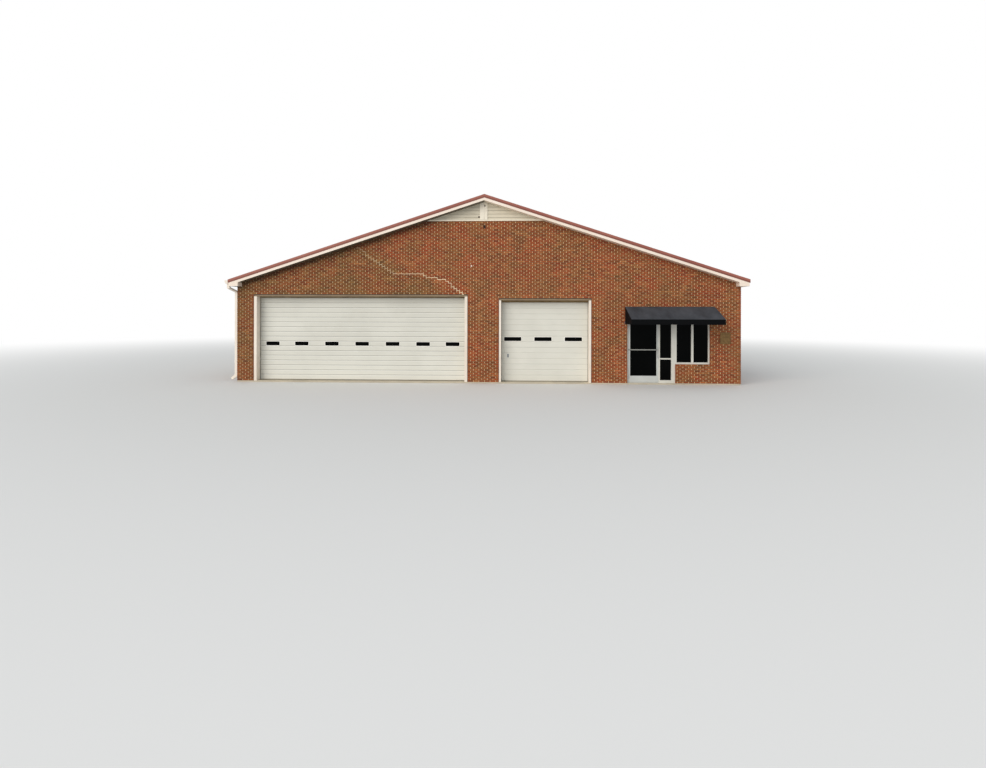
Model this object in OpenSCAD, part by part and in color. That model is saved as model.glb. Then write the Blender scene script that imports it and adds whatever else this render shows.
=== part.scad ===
// Single-storey brick fire station building: a low gabled metal roof, two
// sectional bay doors, and a glazed entry and window under an awning.
// The front looks along -Y. The origin is on the ground at the middle of the
// footprint, and every size is in millimetres.

/* [Building] */
// Depth from the brick front to the brick back
building_d = 18288; // [14000:1:24000]
// Thickness of the outer walls
wall_t = 305; // [280:1:340]
// Height of the floor slab above the ground
slab_t = 50; // [40:1:90]
// Height of one brick course with its bed joint
course_h = 67.73; // [66:0.01:70]
// Height of the side walls' outer edge above the ground
wall_top_h = 3614; // [3600:1:4200]

/* [Front layout, from the left] */
// Width of the brick pier left of the large bay
left_pier_w = 609.6; // [500:0.1:700]
// Width of the large bay between bricks
large_bay_w = 7924.8; // [7600:0.1:8000]
// Width of the brick pier between the bays
middle_pier_w = 1117.6; // [900:0.1:1200]
// Width of the small bay between bricks
small_bay_w = 3352.8; // [3100:0.1:3400]
// Width of the brick pier between the small bay and the entry
entry_pier_w = 1270; // [1100:0.1:1300]
// Width of the glazed entry between bricks
entry_w = 1727.2; // [1690:0.1:1800]
// Width of a window between bricks
window_w = 1219.2; // [1000:0.1:1300]
// Width of the brick pier right of the window
right_pier_w = 1066.8; // [950:0.1:1400]

/* [Heads and sills, in brick courses above the slab] */
// Courses up to the head of the large bay
large_head_courses = 47; // [46:1:50]
// Courses up to the head of the small bay
small_head_courses = 45; // [43:1:45]
// Courses up to the head of the entry and the windows
entry_head_courses = 33; // [32:1:35]
// Courses up to the window sills
sill_courses = 10; // [8:1:14]

/* [Windows of the other walls] */
// Distance from a side window's middle to the building's corner
side_window_in = 4200; // [1500:1:6000]
// Distance from a back window's middle to the building's corner
back_window_in = 4600; // [1500:1:7000]

/* [Bay doors] */
// Face width of the large bay's jamb liners
large_jamb_w = 117; // [90:1:140]
// Face width of the small bay's jamb liners
small_jamb_w = 90; // [70:1:120]
// Height of the steel head liner
head_h = 80; // [60:1:110]
// How far the liners stand out from the brick face
liner_out = 14; // [5:1:25]
// Thickness of a door section
section_t = 50; // [40:1:60]
// How far a door runs behind its jambs and head
door_lap = 40; // [25:1:60]
// Sections in the large door
large_sections = 6; // [5:1:7]
// Sections in the small door
small_sections = 5; // [4:1:6]
// Ribs on a section
ribs = 3; // [2:1:4]
// Depth of the groove between two ribs
groove_d = 7; // [4:1:10]
// Height of the rubber seal under a door
seal_h = 20; // [15:1:60]
// Gap between two sections
section_gap = 0.8; // [0.5:0.1:0.9]
// Windows in the large door
large_lights = 7; // [5:1:8]
// Width of a window in the large door
large_light_w = 510; // [400:1:560]
// Distance from the large door's jamb to its first window's middle
large_light_in = 473.4; // [400:0.1:700]
// Distance from the large door's end windows to their neighbours, by middles
large_light_end = 1095; // [1000:1:1130]
// Windows in the small door
small_lights = 3; // [2:1:3]
// Width of a window in the small door
small_light_w = 632; // [450:1:640]
// Distance from the small door's jamb to its first window's middle
small_light_in = 476.4; // [400:0.1:600]
// How far the small door's windows sit to the left of the door's middle
small_light_left = 56; // [0:1:80]
// Height of a door window
light_h = 146; // [110:1:150]
// Radius of a door window's corners
light_r = 30; // [10:1:40]
// Width of the frame round a door window
light_frame_w = 20; // [12:1:28]
// How far that frame stands out from the door
light_frame_out = 8; // [4:1:12]
// Distance from the small door's jamb to its handle
small_handle_in = 250; // [150:1:300]
// Thickness of a pane
glass_t = 6; // [5:1:10]

/* [Entry and windows] */
// Face width of the frame tubes
frame_w = 51; // [45:1:60]
// Depth of the frame tubes
frame_d = 114; // [100:1:130]
// How far the frames stand back from the brick face
frame_recess = 76; // [60:1:100]
// Width of the post between the sidelight and the window
entry_post_w = 138; // [110:1:160]
// Width of the doorway in the entry frame
doorway_w = 1085; // [950:1:1090]
// Height of the threshold
threshold_h = 13; // [10:1:20]
// Gap round the door leaf
leaf_gap = 5; // [5:0.5:8]
// Thickness of the door leaf
leaf_t = 44; // [40:1:50]
// Width of the leaf's stiles and top rail
stile_w = 68; // [60:1:100]
// Height of the leaf's bottom rail
bottom_rail_h = 238; // [200:1:280]
// Height of the pull handle's foot above the slab
pull_foot_z = 900; // [800:1:1000]
// Length of the pull handle
pull_h = 400; // [300:1:600]
// Height of the push bar inside above the slab
push_bar_z = 1020; // [900:1:1100]
// Height of the leaf's middle bar
mid_bar_h = 34; // [30:1:60]
// Height of the middle bar's centre above the slab
mid_bar_z = 1192; // [1000:1:1300]
// Height of the sidelight's middle rail above the slab
side_rail_z = 872; // [700:1:1100]
// Face width of the bar between two window panes
mullion_w = 76; // [60:1:90]
// Face height of a window frame's bottom member
window_bottom_h = 68; // [60:1:110]

/* [Awning] */
// Height of the awning's top edge at the wall
awning_top_z = 2800; // [2750:1:3000]
// Height of the awning's front top edge
awning_front_z = 2350; // [2345:1:2450]
// Height of the valance's lower edge
valance_z = 2170; // [2150:1:2200]
// How far the awning stands out from the brick
awning_out = 1100; // [1090:1:1300]
// How far the awning runs past the entry on the left
awning_left = 76; // [50:1:150]
// How far the awning runs past the window on the right
awning_right = 150; // [80:1:250]
// Thickness of the awning's cover
cover_t = 4; // [3:0.5:5]
// Side of the awning's square tubes
tube_w = 25; // [20:1:32]
// Rafters in the awning's frame
awning_rafters = 4; // [3:1:6]

/* [Roof] */
// Angle of the roof to the ground, in degrees
roof_angle = 18.09; // [16.7:0.01:19.3]
// Overhang of the roof past the front and back walls
rake_overhang = 330; // [250:1:400]
// Overhang of the eaves past the side walls
eave_overhang = 175; // [150:1:200]
// Upright thickness of the roof deck
deck_t = 180; // [160:1:220]
// Thickness of the fascia boards
fascia_t = 20; // [18:1:30]
// Thickness of the soffit boards
soffit_t = 12; // [10:1:16]
// Distance from the side walls' top down to the boxed eaves' underside
eave_drop = 99; // [94:1:160]
// Length of the boxed return in front of the side wall's outer face
return_w = 168; // [150:1:300]
// Upright height of the metal rake trim
rake_trim_h = 128; // [100:1:150]
// Thickness of the roof metal and its trims
metal_t = 3; // [2:0.5:4]
// Height of the ribs in the roof sheets
rib_h = 22; // [18:1:32]
// Distance between roof ribs
rib_pitch = 305; // [229:1:350]
// Width of a roof rib's foot
rib_foot = 60; // [50:1:75]
// Width of a roof rib's top
rib_top = 26; // [20:1:35]
// Width of the ridge cap and the rake trim's top on one side
cap_w = 150; // [120:1:200]
// How far the roof sheets run past the eave fascia
sheet_drip = 30; // [15:1:40]

/* [Gable siding] */
// Height of the siding, from its lower edge up to the ridge
siding_h = 701; // [560:1:900]
// Height of one siding lap
lap_h = 127; // [100:1:200]
// Thickness of a lap's lower edge
lap_t = 14; // [10:1:20]
// Thickness of the boarding and studs behind the laps
siding_back_t = 260; // [200:1:265]
// Face height of the board under the siding
base_board_h = 45; // [30:1:90]
// Width of the upright board left of the seam
left_board_w = 154; // [100:1:200]
// Width of the upright board right of the seam
right_board_w = 118; // [100:1:200]
// Distance of that seam from the ridge line, to the left
board_seam_in = 22; // [0:1:60]
// Gap at the boards' ends and between them
board_gap = 4; // [2:1:8]
// Thickness of the trim boards
board_t = 18; // [12:1:25]

/* [Rainwater] */
// Width of the gutter at its top
gutter_w = 152; // [130:1:160]
// Height of the gutter
gutter_h = 115; // [100:1:130]
// How far the gutter's rim lies under the roof's edge
gutter_drop = 12; // [11:1:20]
// Width of the downspout across the wall's face
pipe_d = 76; // [60:1:90]
// Depth of the downspout away from the wall
pipe_w = 96; // [70:1:110]
// Gap between the wall and the downspout
pipe_off = 30; // [20:1:40]
// Distance from the brick corner to the downspout
pipe_in = 45; // [30:1:120]
// How far the bend at the gooseneck's top lies under the boxed eave
neck_drop = 35; // [30:1:60]
// Height of the slanted run from the gutter back to the wall
gooseneck_h = 175; // [140:1:260]
// Height of each bend of the gooseneck
bend_h = 45; // [35:1:60]
// How far the gutter's outlet lies in front of the brick face
outlet_fore = 250; // [150:1:300]
// How far the foot kicks out
kick_out = 165; // [120:1:200]

/* [Plaque] */
// Width of the blank plaque
plaque_w = 363; // [250:1:450]
// Height of the blank plaque
plaque_h = 410; // [300:1:500]
// Thickness of the plaque
plaque_t = 25; // [15:1:40]
// Height of the plaque's centre above the ground
plaque_z = 1666; // [1400:1:1900]
// Distance from the plaque's centre to the right corner
plaque_in = 546; // [400:1:600]
// Width of the plaque's raised border
plaque_border = 12; // [8:1:20]
// Height of that border over the field
plaque_rise = 4; // [2:1:6]

/* [Hidden] */
$fn = 48;

brick_red = "#8f5540";
concrete = "#b3aa9c";
door_white = "#dcdacb";
trim_white = "#ece3d6";
roof_red = "#9c5348";
cream = "#d4cbb6";
glass_dark = "#20262a";
steel_tan = "#a08c70";

// Clearance between two sloped faces that lie on each other
seat = 0.3;

half_w = (left_pier_w + large_bay_w + middle_pier_w + small_bay_w
          + entry_pier_w + entry_w + window_w + right_pier_w) / 2;
half_d = building_d / 2;
front = -half_d;

// Edges of the front's openings along X
large_x0 = -half_w + left_pier_w;
large_x1 = large_x0 + large_bay_w;
small_x0 = large_x1 + middle_pier_w;
small_x1 = small_x0 + small_bay_w;
entry_x0 = small_x1 + entry_pier_w;
entry_x1 = entry_x0 + entry_w;
window_x1 = entry_x1 + window_w;

large_head = slab_t + large_head_courses * course_h;
small_head = slab_t + small_head_courses * course_h;
entry_head = slab_t + entry_head_courses * course_h;
sill_z = slab_t + sill_courses * course_h;

slope = tan(roof_angle);
eave_x = half_w + eave_overhang;
rake_y = half_d + rake_overhang;
board_y = rake_y - metal_t;
deck_y = board_y - fascia_t;

// Height of the walls' top under the roof at a distance x from the ridge
function under_deck(x) = wall_top_h + slope * (half_w - abs(x));

// Upright distances from there to the sheets, their rib tops and the trim
sheet_up = deck_t + seat;
ribs_up = sheet_up + (rib_h + metal_t) / cos(roof_angle);
trim_lo = ribs_up + seat;
trim_up = trim_lo + metal_t / cos(roof_angle);

eave_soffit_z = wall_top_h - eave_drop;

// The siding's lower edge: its height, and half its width
siding_z = under_deck(0) - siding_h;
siding_x = siding_h / slope;

// Half the gable's width at a height z, measured under the soffit boards
function under_soffit_x(z) =
    (under_deck(0) - soffit_t - seat - z) / slope;
siding_d = siding_back_t + lap_t;

// A box between two corners
module box(x, y, z)
    translate([x[0], y[0], z[0]])
        cube([x[1] - x[0], y[1] - y[0], z[1] - z[0]]);

// A plate drawn in X and Z, reaching from y0 to y1
module plate(points, y0, y1)
    translate([0, y1, 0]) rotate([90, 0, 0])
        linear_extrude(y1 - y0) polygon(points);

// A rail drawn in Y and Z, reaching from x0 to x1
module rail(points, x0, x1)
    translate([x0, 0, 0]) rotate([90, 0, 90])
        linear_extrude(x1 - x0) polygon(points);

// The shape and its mirror image across the middle of the building's depth
module both_ends() { children(); mirror([0, 1, 0]) children(); }

function reversed(p) = [for (i = [len(p) - 1 : -1 : 0]) p[i]];
function left_of(a, b) = [a[1] - b[1], b[0] - a[0]] / norm(b - a);

// A path's mitred neighbour at a distance d to its left
function beside(p, d) = [
    for (i = [0 : len(p) - 1])
        let (a = left_of(p[max(i, 1) - 1], p[max(i, 1)]),
             k = min(i, len(p) - 2),
             b = left_of(p[k], p[k + 1]))
            p[i] + d * (a + b) / (1 + a * b)
];

// The outline of a band along a path, from d0 to d1 beside it
function band(p, d0, d1) = concat(beside(p, d0), reversed(beside(p, d1)));

// The outline of a layer that follows both roof slopes, out to x
function gable_band(x, z0, z1) = [
    [-x, under_deck(x) + z0], [0, under_deck(0) + z0],
    [x, under_deck(x) + z0], [x, under_deck(x) + z1],
    [0, under_deck(0) + z1], [-x, under_deck(x) + z1]
];

// A flat rectangle with round corners, about the origin
module round_rect(w, h, r) {
    square([w - 2 * r, h], center = true);
    square([w, h - 2 * r], center = true);
    for (x = [-1, 1], z = [-1, 1])
        translate([x * (w / 2 - r), z * (h / 2 - r)]) circle(r);
}

module front_wall(x0, x1, z0, z1)
    color(brick_red) box([x0, x1], [front, front + wall_t], [z0, z1]);

module floor_slab() color(concrete)
    box([-half_w, half_w], [-half_d, half_d], [0, slab_t]);

module front_wall_left_pier()
    front_wall(-half_w, large_x0, slab_t, large_head);
module front_wall_middle_pier()
    front_wall(large_x1, small_x0, slab_t, large_head);
module front_wall_entry_pier()
    front_wall(small_x1, entry_x0, slab_t, large_head);
module front_wall_window_sill()
    front_wall(entry_x1, window_x1, slab_t, sill_z);
module front_wall_right_pier()
    front_wall(window_x1, half_w, slab_t, large_head);
module front_wall_small_door_head()
    front_wall(small_x0, small_x1, small_head, large_head);
module front_wall_entry_head()
    front_wall(entry_x0, window_x1, entry_head, large_head);

// A gable's brickwork from z0 up to the siding
function gable_wall(z0) = [
    [-half_w, z0], [half_w, z0], [half_w, wall_top_h],
    [siding_x, siding_z], [-siding_x, siding_z], [-half_w, wall_top_h]
];

module front_wall_gable() color(brick_red)
    plate(gable_wall(large_head), front, front + wall_t);

// Windows in the other walls, by their middle along the wall
side_windows = [-half_d + side_window_in, half_d - side_window_in];
back_windows = [-half_w + back_window_in, half_w - back_window_in];

module window_hole(depth)
    translate([-window_w / 2, -1, sill_z])
        cube([window_w, depth + 2, entry_head - sill_z]);

// Puts a window drawn at the front face into the right-hand wall
module on_right_wall(y) translate([half_w, y, 0]) rotate(90) children();
module on_left_wall(y) translate([-half_w, y, 0]) rotate(-90) children();
module on_back_wall(x) translate([x, half_d, 0]) rotate(180) children();

module side_wall_body()
    plate([[half_w - wall_t, slab_t], [half_w, slab_t],
           [half_w, wall_top_h],
           [half_w - wall_t, under_deck(half_w - wall_t)]],
          -half_d + wall_t, half_d - wall_t);

module right_wall() color(brick_red) difference() {
    side_wall_body();
    for (y = side_windows) on_right_wall(y) window_hole(wall_t);
}

module left_wall() color(brick_red) difference() {
    mirror([1, 0, 0]) side_wall_body();
    for (y = side_windows) on_left_wall(y) window_hole(wall_t);
}

module back_wall() color(brick_red) difference() {
    plate(gable_wall(slab_t), half_d - wall_t, half_d);
    for (x = back_windows) on_back_wall(x) window_hole(wall_t);
}

// Lap siding on its studs, cut to the gable. Each lap leans out to its lower edge
module siding_panel() {
    laps = ceil((under_deck(0) - siding_z) / lap_h);
    face = [
        for (i = [0 : laps - 1], k = [0, 1])
            [k == 0 ? -lap_t : 0, siding_z + (i + k) * lap_h]
    ];
    outline = concat([[siding_back_t, siding_z]], face,
                     [[siding_back_t, siding_z + laps * lap_h]]);
    intersection() {
        translate([0, front + lap_t, 0]) rail(outline, -siding_x, siding_x);
        plate([[-siding_x, siding_z], [siding_x, siding_z],
               [0, under_deck(0)]], front - 1, front + siding_d + 1);
    }
}

module gable_siding() color(cream) both_ends() siding_panel();

// Boards nailed over the siding: one along its foot and two upright ones
seam_lo = -board_seam_in - board_gap / 2;
seam_hi = -board_seam_in + board_gap / 2;
upright_boards = [[seam_lo - left_board_w, seam_lo],
                  [seam_hi, seam_hi + right_board_w]];

module gable_boards() color(cream) both_ends() {
    top = siding_z + base_board_h;
    foot_x = under_soffit_x(siding_z);
    top_x = under_soffit_x(top);
    plate([[-foot_x, siding_z], [foot_x, siding_z],
           [top_x, top], [-top_x, top]], front - board_t, front);
    down = soffit_t + board_gap;
    for (b = upright_boards)
        plate([[b[0], top + board_gap], [b[1], top + board_gap],
               [b[1], under_deck(b[1]) - down],
               [b[0], under_deck(b[0]) - down]], front - board_t, front);
}

door_y = front + wall_t;

// White liners on both sides of a bay, up to the steel head
module bay_jambs(x0, x1, head, w) color(trim_white)
    for (x = [x0, x1 - w])
        box([x, x + w], [front - liner_out, door_y],
            [slab_t, head - head_h]);

module bay_door_heads() color(steel_tan) {
    box([large_x0, large_x1], [front, door_y],
        [large_head - head_h, large_head]);
    box([small_x0, small_x1], [front, door_y],
        [small_head - head_h, small_head]);
}

// The tongue along a section's top, and its clearance in the next groove
tongue_w = 12;
tongue_h = 8;
tongue_gap = 1;

// One section of height h, drawn in Y and Z with its foot at zero: a ribbed
// face, a tongue along its top and a groove for the next tongue along its foot
function section_outline(h) = let (
    top = h - section_gap,
    p = h / ribs,
    mid = section_t / 2,
    half = tongue_w / 2,
    slot = half + tongue_gap,
    slot_h = tongue_h + tongue_gap,
    ribbed = [
        for (i = [1 : ribs - 1], k = [-2, -1, 1, 2])
            [abs(k) == 1 ? groove_d : 0, i * p + k * groove_d]
    ])
    concat(
        [[groove_d, 0], [0, groove_d]], ribbed,
        [[0, top - groove_d], [groove_d, top], [mid - half, top],
         [mid - half, top + tongue_h], [mid + half, top + tongue_h],
         [mid + half, top], [section_t, top], [section_t, 0],
         [mid + slot, 0], [mid + slot, slot_h], [mid - slot, slot_h],
         [mid - slot, 0]]);

// A flat-topped last section, where no tongue shows
function top_outline(h) = [
    for (q = section_outline(h))
        [q[0], min(q[1], h - section_gap)]
];

function section_height(head, count) =
    (head - slab_t + door_lap - seal_h) / count;

// The windows are in the third section from the ground
lights_in = 2;

// Middles of a row of windows from first to last, with a distance from each
// end window to its neighbour and the rest spaced evenly
function light_places(first, last, count, end) = let (
    step = (last - first - 2 * end) / max(count - 3, 1))
    concat([first], [for (i = [0 : count - 3]) first + end + i * step],
           [last]);

// Puts a window's outline, drawn flat, at every window of a door's row
module light_row(row, h, y)
    for (x = row)
        translate([x, y, slab_t + seal_h + (lights_in + 0.5) * h])
            rotate([90, 0, 0]) children();

large_row_x0 = large_x0 + large_jamb_w + large_light_in;
large_row_x1 = large_x1 - large_jamb_w - large_light_in;
large_row = light_places(large_row_x0, large_row_x1, large_lights,
                         large_light_end);
small_row_x0 = small_x0 + small_jamb_w + small_light_in - small_light_left;
small_row_x1 = small_x1 - small_jamb_w - small_light_in - small_light_left;
small_row = light_places(small_row_x0, small_row_x1, small_lights,
                         (small_row_x1 - small_row_x0) / (small_lights - 1));

// A door's sections from x0 to x1, each of height h
module bay_sections(x0, x1, h, count, row, w) color(door_white)
    for (i = [0 : count - 1])
        difference() {
            translate([0, door_y, slab_t + seal_h + i * h])
                rail(i == count - 1 ? top_outline(h) : section_outline(h),
                     x0, x1);
            if (i == lights_in)
                light_row(row, h, door_y + section_t + 1)
                    linear_extrude(section_t + 2)
                        round_rect(w, light_h, light_r);
        }

module bay_lights(row, h, w)
    light_row(row, h, door_y + (section_t + glass_t) / 2)
        linear_extrude(glass_t) round_rect(w, light_h, light_r);

// Rings that lie on the door's face round its windows
module bay_light_frames(row, h, w)
    light_row(row, h, door_y)
        linear_extrude(light_frame_out) difference() {
            round_rect(w + 2 * light_frame_w, light_h + 2 * light_frame_w,
                       light_r + light_frame_w);
            round_rect(w, light_h, light_r);
        }

module large_door_jambs()
    bay_jambs(large_x0, large_x1, large_head, large_jamb_w);
module small_door_jambs()
    bay_jambs(small_x0, small_x1, small_head, small_jamb_w);

// Both doors' edges behind their jambs, and their sections' heights
large_door = [large_x0 + large_jamb_w - door_lap,
              large_x1 - large_jamb_w + door_lap];
small_door = [small_x0 + small_jamb_w - door_lap,
              small_x1 - small_jamb_w + door_lap];
large_section_h = section_height(large_head, large_sections);
small_section_h = section_height(small_head, small_sections);

module large_door_sections()
    bay_sections(large_door[0], large_door[1], large_section_h,
                 large_sections, large_row, large_light_w);
module small_door_sections()
    bay_sections(small_door[0], small_door[1], small_section_h,
                 small_sections, small_row, small_light_w);

module bay_door_windows() color(glass_dark) {
    bay_lights(large_row, large_section_h, large_light_w);
    bay_lights(small_row, small_section_h, small_light_w);
}

module bay_door_window_frames() color(trim_white) {
    bay_light_frames(large_row, large_section_h, large_light_w);
    bay_light_frames(small_row, small_section_h, small_light_w);
}

// The seal's inset under the door, and the bevels along its foot
seal_in = 6;
seal_bevel = [8, 12];

module bay_seal(door) {
    near = door_y + seal_in;
    far = door_y + section_t - seal_in;
    rail([[near, slab_t + seal_h], [near, slab_t + seal_bevel[1]],
          [near + seal_bevel[0], slab_t], [far - seal_bevel[0], slab_t],
          [far, slab_t + seal_bevel[1]], [far, slab_t + seal_h]],
         door[0], door[1]);
}

module bay_door_seals() color("#2a2a2a") {
    bay_seal(large_door);
    bay_seal(small_door);
}

// A lock plate with a turning handle, near the small door's left edge.
// Each size is a width, a depth and a height
lock_plate = [56, 5, 120];
lock_hub_r = 11;
lock_grip = [18, 12, 110];
lock_grip_out = 24;

module small_door_handle() color("#7c766c") {
    x = small_x0 + small_jamb_w + small_handle_in;
    z = slab_t + seal_h + 1.5 * section_height(small_head, small_sections);
    box([x - lock_plate[0] / 2, x + lock_plate[0] / 2],
        [door_y - lock_plate[1], door_y],
        [z - lock_plate[2] / 2, z + lock_plate[2] / 2]);
    translate([x, door_y - lock_plate[1] + 1, z]) rotate([90, 0, 0])
        cylinder(r = lock_hub_r, h = lock_grip_out);
    box([x - lock_grip[0] / 2, x + lock_grip[0] / 2],
        [door_y - lock_grip_out - lock_grip[1], door_y - lock_grip_out],
        [z - lock_grip[2] / 2, z + lock_grip[2] / 2]);
}

frame_y0 = front + frame_recess;
frame_y1 = frame_y0 + frame_d;
glass_y = frame_y0 + frame_d / 2;
doorway_x0 = entry_x0 + frame_w;
doorway_x1 = doorway_x0 + doorway_w;
sidelight_x0 = doorway_x1 + frame_w;
sidelight_x1 = entry_x1 - entry_post_w;
side_rail_h = 46;
side_foot_h = 100;
side_rail_lo = slab_t + side_rail_z - side_rail_h / 2;

// Storefront frame with its doorway, its sidelight and its threshold
module entry_frame() color(trim_white) difference() {
    box([entry_x0, entry_x1], [frame_y0, frame_y1], [slab_t, entry_head]);
    box([doorway_x0, doorway_x1], [frame_y0 - 1, frame_y1 + 1],
        [slab_t + threshold_h, entry_head - frame_w]);
    box([sidelight_x0, sidelight_x1], [frame_y0 - 1, frame_y1 + 1],
        [slab_t + side_foot_h, side_rail_lo]);
    box([sidelight_x0, sidelight_x1], [frame_y0 - 1, frame_y1 + 1],
        [side_rail_lo + side_rail_h, entry_head - frame_w]);
}

module entry_sidelight_glass() color(glass_dark)
    for (z = [[slab_t + side_foot_h, side_rail_lo],
              [side_rail_lo + side_rail_h, entry_head - frame_w]])
        box([sidelight_x0, sidelight_x1],
            [glass_y - glass_t / 2, glass_y + glass_t / 2], z);

// The door leaf, its hinge line and its height
leaf_x0 = doorway_x0 + leaf_gap;
leaf_x1 = doorway_x1 - leaf_gap;
leaf_back = 4;
leaf_y0 = frame_y0 + leaf_back;
leaf_y1 = leaf_y0 + leaf_t;
leaf_z0 = slab_t + threshold_h + leaf_gap;
leaf_z1 = entry_head - frame_w - leaf_gap;
hinge_x = leaf_x0 - leaf_gap / 2;
hinge_out = 10;
hinge_y = frame_y0 - hinge_out;
hinge_r = 6;
hinge_end = 180;
flap_w = 36;
flap_t = 2;
pin_r = 3;
pin_gap = 0.05;
knuckle_h = 40;
knuckle_gap = 0.4;
hinge_zs = [leaf_z0 + hinge_end, (leaf_z0 + leaf_z1) / 2,
            leaf_z1 - hinge_end];
pane_z = [
    [leaf_z0 + bottom_rail_h, slab_t + mid_bar_z - mid_bar_h / 2],
    [slab_t + mid_bar_z + mid_bar_h / 2, leaf_z1 - stile_w]
];

module entry_door_leaf() color(trim_white) difference() {
    box([leaf_x0, leaf_x1], [leaf_y0, leaf_y1], [leaf_z0, leaf_z1]);
    for (z = pane_z)
        box([leaf_x0 + stile_w, leaf_x1 - stile_w],
            [leaf_y0 - 1, leaf_y1 + 1], z);
}

module entry_door_glass() color(glass_dark)
    for (z = pane_z)
        box([leaf_x0 + stile_w, leaf_x1 - stile_w],
            [(leaf_y0 + leaf_y1 - glass_t) / 2,
             (leaf_y0 + leaf_y1 + glass_t) / 2], z);

// Hinge knuckles on the leaf, each bored for the frame's pin
module entry_door_hinges() color("silver")
    for (z = hinge_zs)
        difference() {
            union() {
                translate([hinge_x, hinge_y, z - knuckle_h / 2])
                    cylinder(r = hinge_r, h = knuckle_h);
                box([leaf_x0, leaf_x0 + flap_w], [hinge_y - flap_t, leaf_y0],
                    [z - knuckle_h / 2, z + knuckle_h / 2]);
            }
            translate([hinge_x, hinge_y, z - knuckle_h / 2 - 1])
                cylinder(r = pin_r + pin_gap, h = knuckle_h + 2);
        }

// Hinge knuckles on the frame with the pins that carry the leaf
module entry_hinges() color("silver")
    for (z = hinge_zs) {
        for (s = [-1, 1]) {
            low = z + s * (knuckle_h * 3 / 4 + knuckle_gap) - knuckle_h / 4;
            translate([hinge_x, hinge_y, low])
                cylinder(r = hinge_r, h = knuckle_h / 2);
            box([doorway_x0 - flap_w, doorway_x0],
                [hinge_y - flap_t, frame_y0], [low, low + knuckle_h / 2]);
        }
        translate([hinge_x, hinge_y, z - knuckle_h])
            cylinder(r = pin_r, h = 2 * knuckle_h);
    }

// An upright pull outside and a push bar inside, on round posts
handle_x = leaf_x1 - stile_w / 2;
pull_r = 12;
pull_out = 50;
pull_z = slab_t + pull_foot_z;
push_z = slab_t + push_bar_z;
post_r = 8;
post_in = 50;
push_end = 20;

module entry_door_handles() color("silver") {
    push_x = leaf_x0 + stile_w / 2;
    for (z = [pull_z + post_in, pull_z + pull_h - post_in])
        translate([handle_x, leaf_y0, z]) rotate([90, 0, 0])
            cylinder(r = post_r, h = pull_out);
    translate([handle_x, leaf_y0 - pull_out, pull_z])
        cylinder(r = pull_r, h = pull_h);
    for (x = [push_x, handle_x])
        translate([x, leaf_y1 + pull_out, push_z]) rotate([90, 0, 0])
            cylinder(r = post_r, h = pull_out);
    translate([push_x - push_end, leaf_y1 + pull_out, push_z])
        rotate([0, 90, 0])
            cylinder(r = pull_r, h = handle_x - push_x + 2 * push_end);
}

// A two-pane window, drawn with its brick face at the front of Y = 0
pane_w = (window_w - 2 * frame_w - mullion_w) / 2;
pane_x = [-window_w / 2 + frame_w, window_w / 2 - frame_w - pane_w];
pane_span = [sill_z + window_bottom_h, entry_head - frame_w];

module window_frame() difference() {
    box([-window_w / 2, window_w / 2],
        [frame_recess, frame_recess + frame_d], [sill_z, entry_head]);
    for (x = pane_x)
        box([x, x + pane_w], [frame_recess - 1, frame_recess + frame_d + 1],
            pane_span);
}

module window_panes()
    for (x = pane_x)
        box([x, x + pane_w],
            [frame_recess + (frame_d - glass_t) / 2,
             frame_recess + (frame_d + glass_t) / 2], pane_span);

module at_every_window() {
    translate([(entry_x1 + window_x1) / 2, front, 0]) children();
    for (y = side_windows) {
        on_right_wall(y) children();
        on_left_wall(y) children();
    }
    for (x = back_windows) on_back_wall(x) children();
}

module window_frames() color(trim_white) at_every_window() window_frame();
module window_glass() color(glass_dark) at_every_window() window_panes();

// Awning: the cover's outer profile in Y and Z, from the wall to the valance
awning_x0 = entry_x0 - awning_left;
awning_x1 = window_x1 + awning_right;
awning_y = front - awning_out;
awning_path = [
    [front, awning_top_z], [awning_y, awning_front_z], [awning_y, valance_z]
];
awning_slope = (awning_top_z - awning_front_z) / awning_out;

// The profile a distance d inside the cover, cut at the brick
function awning_inside(d) = let (
    p = beside(awning_path, d),
    top = p[0][1] - (p[0][0] - front) * awning_slope)
    [[front, top], p[1], [p[2][0], valance_z]];

module awning_cover() color("#2b2c30") difference() {
    in = awning_inside(cover_t);
    rail(concat(awning_path, [[front, valance_z]]), awning_x0, awning_x1);
    rail([[front + 1, in[0][1] + awning_slope], in[1],
          [in[2][0], valance_z - 1], [front + 1, valance_z - 1]],
         awning_x0 + cover_t, awning_x1 - cover_t);
}

// Welded tubes inside the cover, drawn from the same profile
module awning_frame() color("#8d9093") {
    in = cover_t + seat;
    x0 = awning_x0 + in;
    x1 = awning_x1 - in;
    skin = awning_inside(in);
    side = band(skin, 0, tube_w);
    step = (x1 - x0 - tube_w) / (awning_rafters - 1);
    intersection() {
        union() {
            for (i = [0 : awning_rafters - 1])
                rail(side, x0 + i * step, x0 + i * step + tube_w);
            for (z = [skin[1][1] - 5 / 4 * tube_w, valance_z])
                box([x0, x1], [skin[2][0], skin[2][0] + tube_w],
                    [z, z + tube_w]);
            for (x = [x0, x1 - tube_w])
                box([x, x + tube_w], [skin[2][0], front],
                    [valance_z, valance_z + tube_w]);
            box([x0, x1], [front - tube_w, front],
                [skin[0][1] - 2 * tube_w, skin[0][1] - tube_w]);
        }
        rail(concat(skin, [[front, valance_z]]), x0, x1);
    }
}

module roof_deck() color("#c9b48f") {
    edge = eave_x - fascia_t;
    plate([[0, under_deck(0) + seat], [edge, under_deck(edge) + seat],
           [edge, under_deck(edge) + deck_t], [0, under_deck(0) + deck_t]],
          -deck_y, deck_y);
}

module roof_deck_right() roof_deck();
module roof_deck_left() mirror([1, 0, 0]) roof_deck();

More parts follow.
